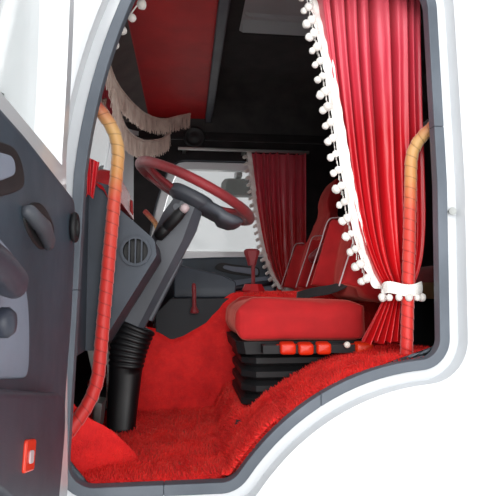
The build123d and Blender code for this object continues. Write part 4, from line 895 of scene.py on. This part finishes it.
def upperFaces(nodeName, side):
    # the faces that show: upwards, outwards from the tunnel, and out of the hump
    shape = weldedShape(nodes[nodeName].data)
    hidden = []
    for face in shape.faces:
        middle, out = face.calc_center_median(), face.normal
        if nodeName == "tunnel_cover":
            seen = out.z > 0.3 or (abs(out.y) > 0.5 and out.y * middle.y > 0)
        else:
            fromHump = Vector((middle.x - 1.125, 0, middle.z + 0.094)).normalized()
            seen = out.z > 0.7 or (middle.x > 0.6 and fromHump.dot(out) > 0.5) or abs(out.y) > 0.9
        if not seen or middle.y * side < 0:
            hidden.append(face)
    bmesh.ops.delete(shape, geom=hidden, context="FACES")
    for _ in range(7):
        long = [e for e in shape.edges if e.calc_length() > furValues["gridMm"] / 1000 * 1.5]
        if not long:
            break
        bmesh.ops.subdivide_edges(shape, edges=long, cuts=1)
        bmesh.ops.triangulate(shape, faces=shape.faces)
    edge = {v for e in shape.edges if e.is_boundary for v in e.verts}
    moves = {}
    for vertex in shape.verts:
        lump = noise.noise(vertex.co / furValues["lumpSize"]) + 0.5 * noise.noise(vertex.co / 0.045)
        lift = 0.0006 if vertex in edge else furValues["lumpMm"] / 1000 * (0.55 + 0.5 * lump)
        moves[vertex] = vertex.normal * max(0.0006, lift)
    for vertex, move in moves.items():
        vertex.co += move
    return meshFrom(shape, nodeName + "Backing", redFur)


def tuftTree():
    tree, sockets, given = newTree("furTufts", "Backing", (
        ("Density", "NodeSocketFloat"), ("Length", "NodeSocketFloat"), ("Width", "NodeSocketFloat"),
        ("Lean", "NodeSocketFloat"), ("Seed", "NodeSocketInt")), "Fur")
    spots = addNode(tree, "GeometryNodeDistributePointsOnFaces", {"distribute_method": "RANDOM"}, {
        "Mesh": given["Backing"], "Density": given["Density"], "Seed": given["Seed"]})
    at = addNode(tree, "GeometryNodeInputPosition").outputs["Position"]
    sway = spots.outputs["Normal"]
    for scale, detail, amount in ((13.0, 3.0, 5.0), (260.0, 2.0, 2.6)):
        # the pile is combed in broad waves, then each tuft leans its own way
        source = addNode(tree, "ShaderNodeTexNoise", inputs={"Vector": at, "Scale": scale, "Detail": detail})
        centred = addNode(tree, "ShaderNodeVectorMath", {"operation": "SUBTRACT"}, {
            0: source.outputs["Color"], 1: (0.5, 0.5, 0.5)})
        scaled = addNode(tree, "ShaderNodeVectorMath", {"operation": "SCALE"}, {0: centred.outputs["Vector"]})
        lean = addNode(tree, "ShaderNodeMath", {"operation": "MULTIPLY"}, {0: given["Lean"], 1: amount})
        tree.links.new(lean.outputs["Value"], scaled.inputs["Scale"])
        sway = addNode(tree, "ShaderNodeVectorMath", {"operation": "ADD"}, {
            0: sway, 1: scaled.outputs["Vector"]}).outputs["Vector"]
    turned = addNode(tree, "FunctionNodeAlignEulerToVector", {"axis": "Z"}, {"Vector": sway})
    cone = addNode(tree, "GeometryNodeMeshCone", {"fill_type": "NONE"}, {
        "Vertices": 4, "Radius Top": 0.0002, "Radius Bottom": given["Width"], "Depth": given["Length"]})
    rise = addNode(tree, "ShaderNodeSeparateXYZ", inputs={"Vector": at})
    share = addNode(tree, "ShaderNodeMath", {"operation": "DIVIDE"}, {0: rise.outputs["Z"], 1: given["Length"]})
    marked = addNode(tree, "GeometryNodeStoreNamedAttribute", {"data_type": "FLOAT", "domain": "POINT"}, {
        "Geometry": cone.outputs["Mesh"], "Name": "tipShare", "Value": share.outputs["Value"]})
    scattered(tree, given["Seed"], spots.outputs["Points"], marked.outputs["Geometry"],
              turned.outputs["Rotation"], (0.6, 1.15), redFur, "Fur", given["Backing"])
    return tree, sockets


furTree, furSockets = tuftTree()


def furOn(pieceName, backing, tufts, seed):
    area = sum(p.area for p in backing.polygons)
    piece = grownOn(placePiece(pieceName, backing), "tufts", furTree, furSockets, {
        "Density": tufts / area, "Length": furValues["tuftMm"] / 1000, "Width": furValues["tuftWidthMm"] / 1000,
        "Lean": furValues["lean"], "Seed": seed})
    print(pieceName, "area", round(area, 2), "faces", len(piece.data.polygons))
    return piece


for number, (pieceName, (nodeName, side, tufts)) in enumerate(furPieces.items()):
    furOn(pieceName, upperFaces(nodeName, side), tufts, 41 + number)


def furDrape(pieceName, place, columns, rows, tufts, seed):
    # a loose fur cover over a place that the carpets leave bare, given as place(across, down) in millimetres
    points, faces = surfaceGrid(place, columns, rows)
    backing = newMesh(pieceName, points, faces, redFur)
    for vertex in backing.vertices:
        lump = noise.noise(vertex.co / 0.12) + 0.5 * noise.noise(vertex.co / 0.05)
        vertex.co += vertex.normal * (0.007 * lump)
    return furOn(pieceName, backing, tufts, seed)


tunnelTop = ((205, 610), (340, 590), (396, 560), (469, 590), (537, 630), (598, 705), (640, 738), (692, 742))


def profileHeight(profile, x):
    for (nearX, nearZ), (farX, farZ) in zip(profile, profile[1:]):
        if x <= farX:
            return nearZ + (farZ - nearZ) * max(0.0, (x - nearX) / (farX - nearX))
    return profile[-1][1]


def besideTunnel(u, v):
    # down the driver's side of the engine tunnel, in front of its cover
    x = 215 + 475 * u
    top = profileHeight(tunnelTop, x)
    low = 270 if x < 590 else 360
    z = top + (low - top) * v
    inward = 26 * max(0.0, 1 - v * 9)
    return Vector((x, -(344 + 5 * v - inward), z))


riserLine = ((524, 274), (566, 274), (604, 352), (622, 369), (710, 369))


def overRiser(u, v):
    # over the step up to the seat's platform
    share = v * (len(riserLine) - 1)
    index = min(int(share), len(riserLine) - 2)
    (nearX, nearZ), (farX, farZ) = riserLine[index], riserLine[index + 1]
    part = share - index
    return Vector((nearX + (farX - nearX) * part, -346 - 500 * u, nearZ + (farZ - nearZ) * part))


def atArchFoot(u, v):
    # over the foot of the wheel arch, between the rug and the arch's own cover
    x = 546 + 160 * v
    arch = -94 + math.sqrt(max(0.0, 666 ** 2 - (1125 - x) ** 2))
    step = profileHeight(riserLine, x)
    near = max(0.0, 1 - u / 0.16)
    return Vector((x, -836 - 296 * u, max(272, arch + near * max(0.0, step - arch))))


def kickPanel(u, v):
    # up the front corner beside the rail's foot
    across = Vector((88, -1128, 0)).lerp(Vector((330, -975, 0)), u)
    top = 590 - 190 * (u / 0.5) ** 0.7 if u < 0.5 else 400 - 130 * ((u - 0.5) / 0.5) ** 1.4
    return Vector((across.x, across.y, 268 + (top - 268) * (1 - v)))


furDrape("fur_tunnel_side", besideTunnel, 34, 30, 8500, 61)
furDrape("fur_riser", overRiser, 34, 18, 4500, 62)
furDrape("fur_arch_foot", atArchFoot, 22, 20, 3000, 64)
furDrape("fur_kick_panel", kickPanel, 26, 22, 3000, 63)


# padded pieces: each cover swells over its foam, then takes its seams and creases

padValues = {
    # node: body, voxel mm, shrink mm, most the cover may move mm, fill, crease mm
    "seat_cushion_driver": ("driver_seat", 13, 7, 11, 0.75, 3.2),
    "seat_back_driver": ("driver_seat", 15, 7, 11, 0.75, 2.4),
    "seat_cushion_passenger": ("passenger_seat", 14, 7, 11, 0.75, 3.2),
    "seat_back_passenger": ("passenger_seat", 15, 7, 11, 0.75, 2.4),
    "bunk_mattress": ("cab", 26, 9, 14, 0.8, 3.0),
}


def swollenCopy(nodeName):
    body, voxel, shrink, cap, fill, crease = padValues[nodeName]
    finish = mattressTick if nodeName == "bunk_mattress" else seatVelour
    shape = weldedShape(nodes[nodeName].data)
    mesh = meshFrom(shape, nodeName + "Cover", finish)
    piece = placePiece(nodeName + "_cover", mesh, body, [nodeName])
    remesh = piece.modifiers.new("skin", "REMESH")
    remesh.mode = "VOXEL"
    remesh.voxel_size = voxel / 1000
    remesh.use_smooth_shade = True
    bakeModifiers(piece)
    start = [v.co.copy() for v in piece.data.vertices]
    normals = [v.normal.copy() for v in piece.data.vertices]
    for vertex, normal in zip(piece.data.vertices, normals):
        vertex.co -= normal * (shrink / 1000)
    piece.data.update()
    cloth = piece.modifiers.new("cover", "CLOTH")
    cloth.settings.quality = 4
    cloth.settings.mass = 0.25
    cloth.settings.tension_stiffness = 12
    cloth.settings.compression_stiffness = 12
    cloth.settings.bending_stiffness = 0.8
    cloth.settings.use_pressure = True
    cloth.settings.uniform_pressure_force = 4
    cloth.settings.effector_weights.gravity = 0
    cloth.point_cache.frame_start, cloth.point_cache.frame_end = 1, 20
    for step in range(1, 21):
        bpy.context.scene.frame_set(step)
    moved = bakedPoints(piece)
    piece.modifiers.clear()
    bpy.context.scene.frame_set(1)
    for vertex, end in zip(piece.data.vertices, moved):
        step = end - vertex.co
        if step.length > cap / 1000:
            step = step.normalized() * (cap / 1000)
        vertex.co += step
    smoother = piece.modifiers.new("even", "SMOOTH")
    smoother.factor, smoother.iterations = 0.5, 2
    bakeModifiers(piece)
    for vertex, at, normal in zip(piece.data.vertices, start, normals):
        fold = noise.noise(Vector((at.x / 0.16, at.y / 0.09, at.z / 0.12)) + Vector((0, 0, 7.3)))
        fine = noise.noise(Vector((at.x / 0.05, at.y / 0.035, at.z / 0.05)))
        vertex.co += normal * ((fold * 0.75 + fine * 0.25) * crease / 1000)
        vertex.co -= normal * (seamDepth(nodeName, at) / 1000)
    finer = piece.modifiers.new("finer", "SUBSURF")
    finer.levels = finer.render_levels = 1
    bakeModifiers(piece)
    piece.data.materials.clear()
    piece.data.materials.append(finish)
    piece.data.polygons.foreach_set("use_smooth", [True] * len(piece.data.polygons))
    print(nodeName, "cover", len(piece.data.polygons))
    return piece


def bakedPoints(piece):
    graph = bpy.context.evaluated_depsgraph_get()
    mesh = piece.evaluated_get(graph).to_mesh()
    points = [v.co.copy() for v in mesh.vertices]
    piece.evaluated_get(graph).to_mesh_clear()
    return points


seatShift = {"driver": (-0.61, 0.0), "passenger": (0.61, 0.11)}


def seamDepth(nodeName, at):
    # how far a sewn seam pulls the cover in at a point, in millimetres
    if nodeName == "bunk_mattress":
        return 5.0 * math.exp(-((at.z - 0.795) / 0.006) ** 2)
    middleY, shift = seatShift[nodeName.split("_")[2]]
    away = abs(at.y - middleY)
    depth = 5.5 * math.exp(-((away - 0.132) / 0.008) ** 2)
    if "cushion" in nodeName and at.z > 0.66:
        depth = max(depth, 3.5 * math.exp(-((at.x - shift - 0.70) / 0.010) ** 2) * (away < 0.132))
    if "back" in nodeName:
        up = (at.z - 0.717) * math.cos(0.262) + (at.x - shift - 1.0) * math.sin(0.262)
        for seam in (0.17, 0.33, 0.50):
            depth = max(depth, 4.0 * math.exp(-((up - seam) / 0.009) ** 2) * (away < 0.132))
        if up > 0.53:
            depth = 3.0 * math.exp(-((up - 0.56) / 0.009) ** 2)
    return depth


for nodeName in padValues:
    swollenCopy(nodeName)
print("padded covers made")


# stalk on the column, lever handles, white knob


def barBetween(name, start, end, radii, finish, slotName, body="cab", sides=20, inPlaceOf=()):
    # round bar whose radius follows (share, radius) pairs
    start, end = Vector(start), Vector(end)
    side, up = squareTo((end - start).normalized())
    rings = [circle(start.lerp(end, share), side, up, radius, sides) for share, radius in radii]
    return placeLoft(name, rings, finish, slotName, body, inPlaceOf)


barBetween("column_stalk", (350, -682, 930), (446, -742, 1028), (
    (0, 12), (0.04, 19), (0.3, 21), (0.32, 19), (0.36, 19), (0.38, 21), (0.78, 20), (0.82, 17), (0.9, 17)),
    blackAbs, "black_plastic")
barBetween("stalk_tip", (436, -736, 1018), (454, -747, 1036), ((0, 14), (0.5, 15), (0.85, 12), (1, 6)),
           palePiping, "grey_plastic")

leverHandles = (
    # middle along the cab, length, height at the top
    (766, 50, 590), (823, 48, 588), (880, 46, 589), (1011, 56, 588),
)
for hand, label in ((-1, "driver"), (1, "passenger")):
    for number, (middle, length, top) in enumerate(leverHandles):
        rings = []
        for y, width, height in ((868, length - 8, 16), (876, length - 2, 22), (886, length, 34), (899, length, 36),
                                 (905, length - 3, 32), (908, length - 12, 22)):
            drop = 0 if y < 880 else 10
            rings.append(superRing((middle, hand * y, top - 12 - drop), xAxis, zAxis, width, height, 5, 24))
        inPlaceOf = ["seat_levers"] if label == "driver" and number == 0 else ()
        placeLoft(f"lever_{label}_{number}", rings, orangeAbs, "red_plastic", "cab", inPlaceOf)
    barBetween(f"lever_knob_{label}", (955, hand * 884, 579), (955, hand * 906, 577),
               ((0, 4), (0.2, 5), (0.3, 9), (0.7, 10.5), (0.93, 8), (1, 3)), paleAbs, "grey_plastic")
print("levers made")


# lap belt across the driver's seat, and the armrest of the passenger's

def strapAlong(name, knots, widthMm, thickMm, finish, slotName, body, lie):
    line = curveThrough(knots, 8)
    rings = []
    for place, along, *_ in framesAlong(line):
        flat = Vector(lie)
        flat = (flat - along * flat.dot(along)).normalized()
        thin = along.cross(flat)
        rings.append(superRing(place, flat, thin, widthMm, thickMm, 6, 16))
    return placeLoft(name, rings, finish, slotName, body)


strapAlong("lap_belt", ((905, -372, 722), (960, -430, 740), (1008, -520, 752), (1040, -610, 772), (1058, -700, 806),
                        (1074, -790, 850), (1084, -850, 878)),
           46, 2.6, beltWebbing, "dark_lining", "driver_seat", (0.5, 0.1, 0.86))
armRings = []
for share, width, height in ((0, 20, 24), (0.04, 42, 46), (0.12, 54, 58), (0.5, 56, 60), (0.88, 52, 54), (0.97, 40, 40),
                             (1, 18, 20)):
    place = Vector((1132, 352, 912)).lerp(Vector((1322, 340, 1062)), share)
    armRings.append(superRing(place, yAxis, Vector((-0.62, 0, 0.78)), width, height, 2.6, 24))
placeLoft("passenger_armrest", armRings, wheelLeather, "dark_red_leather", "passenger_seat")


# piping sewn along the seats' edges

pipingValues = {"radius": 2.6}


def backPoint(owner, across, up, depth):
    # a point on a seat's back, across and up it and forward of it, in millimetres
    middleY, shift = seatShift[owner]
    rake = math.radians(15)
    foot = Vector((1000 + shift * 1000, middleY * 1000, 717))
    return foot + Vector((0, across, 0)) + Vector((math.sin(rake), 0, math.cos(rake))) * up + Vector(
        (math.cos(rake), 0, -math.sin(rake))) * depth


for owner in ("driver", "passenger"):
    for hand in (-1, 1):
        outer = [backPoint(owner, hand * 238, up, depth) for up, depth in (
            (30, -64), (120, -58), (230, -50), (322, -43), (345, -12), (352, 14))]
        points, faces = tubeAlong(curveThrough(outer, 8), lambda distance, turn: pipingValues["radius"], 8)
        placeSolid(f"outer_piping_{owner}_{hand + 1}", points, faces, palePiping, "red_leather", f"{owner}_seat")
print("belt, armrest and piping made")


# speaker on the far wall, with a pressed grille

speakerMiddle = Vector((500, 1082, 1800))
speakerRings = [circle(speakerMiddle - yAxis * lift, xAxis, zAxis, radius, 40) for lift, radius in (
    (0, 76), (6, 76), (12, 71), (13, 60), (8, 54), (7, 36), (10, 20), (13, 6))]
placeLoft("far_speaker", speakerRings, blackAbs, "black_plastic")


# red cloth laid over the dashboard's corner

def dashCloth(u, v):
    x, y = 172 + 60 * u + 6 * math.sin(9 * v), -1046 + 96 * v
    z = 1074 - 74 * u ** 1.4 + 6 * math.sin(u * 9 + v * 11)
    return Vector((x, y, z))


clothSheet("dash_cloth", dashCloth, 26, 26, redSatin, (0.115, 0.105))
print("speaker and dash cloth made")


# cornices over the wall linings, and the grey edging of the shelf

for hand, label in ((-1, "left"), (1, "right")):
    cornice = [superRing((x, hand * 1098, 1815), yAxis, zAxis, 34, 58, 5, 20) for x in (120, 124, 1918, 1922)]
    placeLoft(f"cornice_{label}", cornice, slotFinish["dark_lining"], "dark_lining")
edging = [superRing((595, y, 1921), xAxis, zAxis, 48, 30, 6, 20) for y in (-1082, -1078, -360, -356, 356, 360, 1078, 1082)]
placeLoft("shelf_edging", edging, columnAbs, "grey_plastic")


# ribbed bellows and smooth foot of the column, in place of the plain boot

bellowsValues = {"ribs": 8, "depth": 6.5}
footPoint, neckPoint, topPoint = (Vector(p) for p in ((231, -620, 268), (246, -620, 482), (278, -620, 628)))
bootRings = []
for share, wide, deep in ((0, 96, 92), (0.03, 104, 100), (0.06, 98, 94), (0.9, 112, 104), (1, 114, 106)):
    bootRings.append(superRing(footPoint.lerp(neckPoint, share), xAxis, yAxis, wide, deep, 2.5, 36))
ribSteps = 8
for step in range(1, bellowsValues["ribs"] * ribSteps + 1):
    share = step / (bellowsValues["ribs"] * ribSteps)
    place = neckPoint.lerp(topPoint, share) + Vector((6 * math.sin(math.pi * share) * -1, 0, 0))
    tilt = math.radians(6 + 18 * share)
    tiltedX = Vector((math.cos(tilt), 0, -math.sin(tilt)))
    swell = 2 * bellowsValues["depth"] * abs(math.sin(math.pi * step / ribSteps)) ** 0.7
    bootRings.append(superRing(place, tiltedX, yAxis, 108 + 26 * share + swell, 100 + 16 * share + swell, 2.5, 36))
placeLoft("column_bellows", bootRings, slotFinish["boot_rubber"], "boot_rubber", "cab", ["column_boot"])
print("bellows ribbed")


# door trims, drawn in the closed door's side view and turned with the door

ringValues = {"x": 262, "z": 882, "stand": 42, "radius": 26, "wire": 6.5, "sections": 12}
doorValues = {"hingeX": 107, "hingeY": 1233, "backY": 1172, "openDeg": 88}
trimEdge = (
    (198, 905), (214, 954), (628, 976), (1098, 983), (1100, 622), (1086, 596), (1000, 581), (906, 556), (816, 518),
    (734, 468), (676, 423), (641, 390), (608, 355), (300, 355), (272, 440), (256, 545), (212, 700), (198, 840),
)
trimInsert = ((598, 622), (600, 690), (614, 735), (642, 768), (692, 796), (770, 816), (1060, 850), (1060, 682), (820, 655))
trimPocket = (
    (1060, 672), (809, 645), (678, 618), (470, 577), (424, 556), (418, 500), (440, 440), (470, 374), (602, 374),
    (655, 425), (720, 480), (806, 532), (900, 573), (1000, 598), (1060, 608),
)
trimPanels = (
    # name, outline, from, to, bevel, corner radius, finish, slot
    ("trim", trimEdge, -12, 34, 16, 30, doorTpo, "door_plastic"),
    ("insert", trimInsert, 30, 39, 4, 26, paleDoorTpo, "grey_plastic"),
    ("pocket", trimPocket, 26, 62, 11, 24, darkDoorTpo, "door_plastic"),
    ("release_cup", ((653, 850), (600, 882), (527, 890), (444, 868), (438, 842), (517, 812), (590, 822)), 30, 37, 3, 34,
     blackAbs, "black_plastic"),
    # the pull cup's black is painted shade inside the pull recess
    ("pull_cup", ((960, 905), (773, 926), (700, 938), (660, 926), (640, 896), (690, 878), (766, 858), (960, 835)), 30, 37,
     3, 26, blackAbs, "black_plastic"),
    ("pull_floor", ((950, 898), (773, 912), (712, 922), (700, 900), (766, 878), (950, 850)), 34, 40, 3, 18,
     paleDoorTpo, "grey_plastic"),
    ("reflector", ((708, 563), (658, 551), (666, 512), (716, 524)), 60, 66, 2.5, 7, redLens, "red_plastic"),
    ("reflector_middle", ((695, 546), (675, 541), (678, 525), (698, 530)), 64, 67.5, 1, 5, palePiping, "grey_plastic"),
)


def onDoor(hand, x, z, stand):
    inwards = stand - doorValues["backY"]
    if hand > 0:
        return Vector((x, -inwards, z))
    turn = math.radians(doorValues["openDeg"])
    along, across = x - doorValues["hingeX"], inwards + doorValues["hingeY"]
    return Vector((doorValues["hingeX"] + along * math.cos(turn) + across * math.sin(turn),
                   -doorValues["hingeY"] - along * math.sin(turn) + across * math.cos(turn), z))


def roundedOutline(corners, radius, steps=6):
    outline = []
    for number, corner in enumerate(corners):
        place = Vector(corner)
        before, after = Vector(corners[number - 1]) - place, Vector(corners[(number + 1) % len(corners)]) - place
        first = place + before.normalized() * min(radius, before.length * 0.48)
        last = place + after.normalized() * min(radius, after.length * 0.48)
        for step in range(steps + 1):
            share = step / steps
            outline.append(first.lerp(place, share).lerp(place.lerp(last, share), share))
    return outline


def insetOutline(outline, distance):
    turnSum = sum(a.x * b.y - b.x * a.y for a, b in zip(outline, outline[1:] + outline[:1]))
    side = 1 if turnSum > 0 else -1
    moved = []
    for number, place in enumerate(outline):
        along = outline[(number + 1) % len(outline)] - outline[number - 1]
        inward = Vector((-along.y, along.x)).normalized() * side
        moved.append(place + inward * distance)
    return moved


def raisedPanel(name, hand, outline, low, high, bevel, radius, finish, body, inPlaceOf=()):
    flat = roundedOutline(outline, radius)
    levels = [(0, low)] + [(bevel * (1 - math.cos(t)), high - bevel * (1 - math.sin(t)))
                           for t in (math.pi / 2 * k / 5 for k in range(6))]
    points = [onDoor(hand, p.x, p.y, stand) for inset, stand in levels for p in insetOutline(flat, inset)]
    count, last = len(flat), (len(levels) - 1) * len(flat)
    faces = gridFaces(count, len(levels), wrap=True)
    faces.append(tuple(range(count)))
    faces.append(tuple(range(last, last + count)))
    mesh = facingOut(newMesh(name, points, faces, finish))
    for polygon in mesh.polygons:
        if len(polygon.vertices) > 4:
            polygon.use_smooth = False
    return placePiece(name, mesh, body, inPlaceOf)


def doorBar(name, hand, knots, finish, slotName, body, sides=18):
    # round bar through (x, z, stand, radius) knots
    rings = []
    places = [onDoor(hand, x, z, stand) for x, z, stand, _ in knots]
    for number, (place, (_, _, _, radius)) in enumerate(zip(places, knots)):
        along = (places[min(number + 1, len(places) - 1)] - places[max(number - 1, 0)]).normalized()
        rings.append(circle(place, *squareTo(along), radius, sides))
    return placeLoft(name, rings, finish, slotName, body)


for hand, label in ((-1, "left"), (1, "right")):
    body = f"{label}_door"
    for panelName, outline, low, high, bevel, radius, finish, slotName in trimPanels:
        inPlaceOf = [f"door_trim_{label}"] if panelName == "trim" else ()
        raisedPanel(f"door_{panelName}_{label}", hand, outline, low, high, bevel, radius, finish, body, inPlaceOf)
    doorBar(f"door_release_{label}", hand, (
        (650, 862, 37, 6), (640, 860, 42, 11), (580, 846, 48, 13), (530, 830, 46, 11), (508, 822, 42, 8), (504, 820, 40, 3)),
        columnAbs, "grey_plastic", body)
    doorBar(f"door_grip_{label}", hand, (
        (745, 752, 50, 6), (752, 754, 55, 15), (790, 760, 62, 19), (860, 775, 66, 19), (980, 795, 66, 19), (1040, 802, 56, 17),
        (1046, 803, 50, 8)), darkDoorTpo, "door_plastic", body)
    doorBar(f"door_knob_{label}", hand, (
        (800, 714, 38, 10), (800, 714, 50, 13), (800, 714, 56, 17), (800, 714, 64, 17), (800, 714, 70, 12),
        (800, 714, 72, 4)), darkDoorTpo, "door_plastic", body)
    ringPoints = []
    for turn in (2 * math.pi * i / 40 for i in range(40)):
        for small in (2 * math.pi * j / ringValues["sections"] for j in range(ringValues["sections"])):
            reach = ringValues["radius"] + ringValues["wire"] * math.cos(small)
            ringPoints.append(onDoor(
                hand, ringValues["x"] + reach * math.cos(turn), ringValues["z"] + reach * math.sin(turn),
                ringValues["stand"] + ringValues["wire"] * math.sin(small)))
    placeSolid(f"door_ring_{label}", *closedGrid(ringPoints, ringValues["sections"]), blackAbs, "black_plastic",
               body)
print("door trims made")


# checked lever beyond the column, and red cloth hung at the driver's end of the dashboard

barBetween("park_lever", (486, -352, 655), (482, -352, 778), (
    (0, 16), (0.05, 20), (0.2, 12), (0.24, 9), (0.9, 9), (0.96, 8), (1, 3)), wheelLeather, "dark_red_leather")


def podCloth(u, v):
    wide = 46 * (1 - 0.55 * v)
    return Vector((196 - wide / 2 + wide * u, -1108 + 5 * math.sin(u * 16 + v), 1096 - 100 * v + 5 * math.sin(u * 5)))


clothSheet("pod_cloth", podCloth, 24, 20, redSatin, (0.06, 0.10))
print("lever and cloth made")


# pompoms on their cord in the driver's front corner

cornerLine = curveThrough((
    (330, -1000, 1640), (312, -1004, 1606), (279, -1000, 1558), (250, -1002, 1512), (232, -1000, 1470)))
cordPoints, cordFaces = tubeAlong(cornerLine, lambda distance, turn: 2.2, 8)
placeSolid("corner_cord", cordPoints, cordFaces, whiteLace, "curtain_satin")
repeatAlong("corner_pompoms", [place + Vector((7, 0, -7)) for place in cornerLine], "pompom", 40, 9.5, woolPompom,
            seed=93)
print("corner pompoms hung")


# camera, floor and light

cameraValues = {"place": (0.450, -2.540, 0.750), "turn": 6.65, "lift": 4.5, "lens": 532 / 496 * 36}
cameraData = bpy.data.cameras.new("photoCamera")
cameraData.lens = cameraValues["lens"]
cameraData.sensor_width = 36
cameraData.clip_start = 0.05
camera = bpy.data.objects.new("photoCamera", cameraData)
camera.location = cameraValues["place"]
camera.rotation_euler = (math.radians(90 + cameraValues["lift"]), 0, math.radians(-cameraValues["turn"]))
bpy.context.scene.collection.objects.link(camera)
bpy.context.scene.camera = camera

floorMaterial = newMaterial("paleStudioFloor", **{"Base Color": srgb("#eceae6"), "Roughness": 0.9})[0]
floorLevel = cadBox[0][2] - 0.004
floorMesh = bpy.data.meshes.new("studioFloor")
floorMesh.from_pydata([(-14, -14, floorLevel), (14, -14, floorLevel), (14, 14, floorLevel), (-14, 14, floorLevel)],
                      [], [(0, 1, 2, 3)])
floorMesh.materials.append(floorMaterial)
studioFloor = bpy.data.objects.new("studioFloor", floorMesh)
bpy.context.scene.collection.objects.link(studioFloor)

world = bpy.data.worlds.new("paleStudio")
bpy.context.scene.world = world
world.use_nodes = True
worldTree = world.node_tree
worldBack = worldTree.nodes["Background"]
worldBack.inputs["Color"].default_value = srgb("#f4f6f8")
worldBack.inputs["Strength"].default_value = 0.75

lampValues = (
    ("doorSideLamp", (-1.2, -5.0, 3.2), (0.6, 0.0, 0.9), 3.5, 170.0),
    ("screenSideLamp", (-4.6, 1.0, 3.0), (0.4, 0.0, 0.9), 3.0, 90.0),
    ("farSideLamp", (1.5, 5.2, 3.0), (0.6, 0.0, 1.0), 3.0, 90.0),
    ("doorwayFillLamp", (0.9, -4.4, 0.9), (0.5, 0.0, 1.1), 2.6, 90.0),
)
for lampName, place, aim, size, power in lampValues:
    lampData = bpy.data.lights.new(lampName, "AREA")
    lampData.size = size
    lampData.energy = power
    lamp = bpy.data.objects.new(lampName, lampData)
    lamp.location = place
    lamp.rotation_euler = (Vector(aim) - Vector(place)).to_track_quat("-Z", "Y").to_euler()
    bpy.context.scene.collection.objects.link(lamp)

bpy.context.scene.view_settings.view_transform = "Standard"
print("camera and light set")
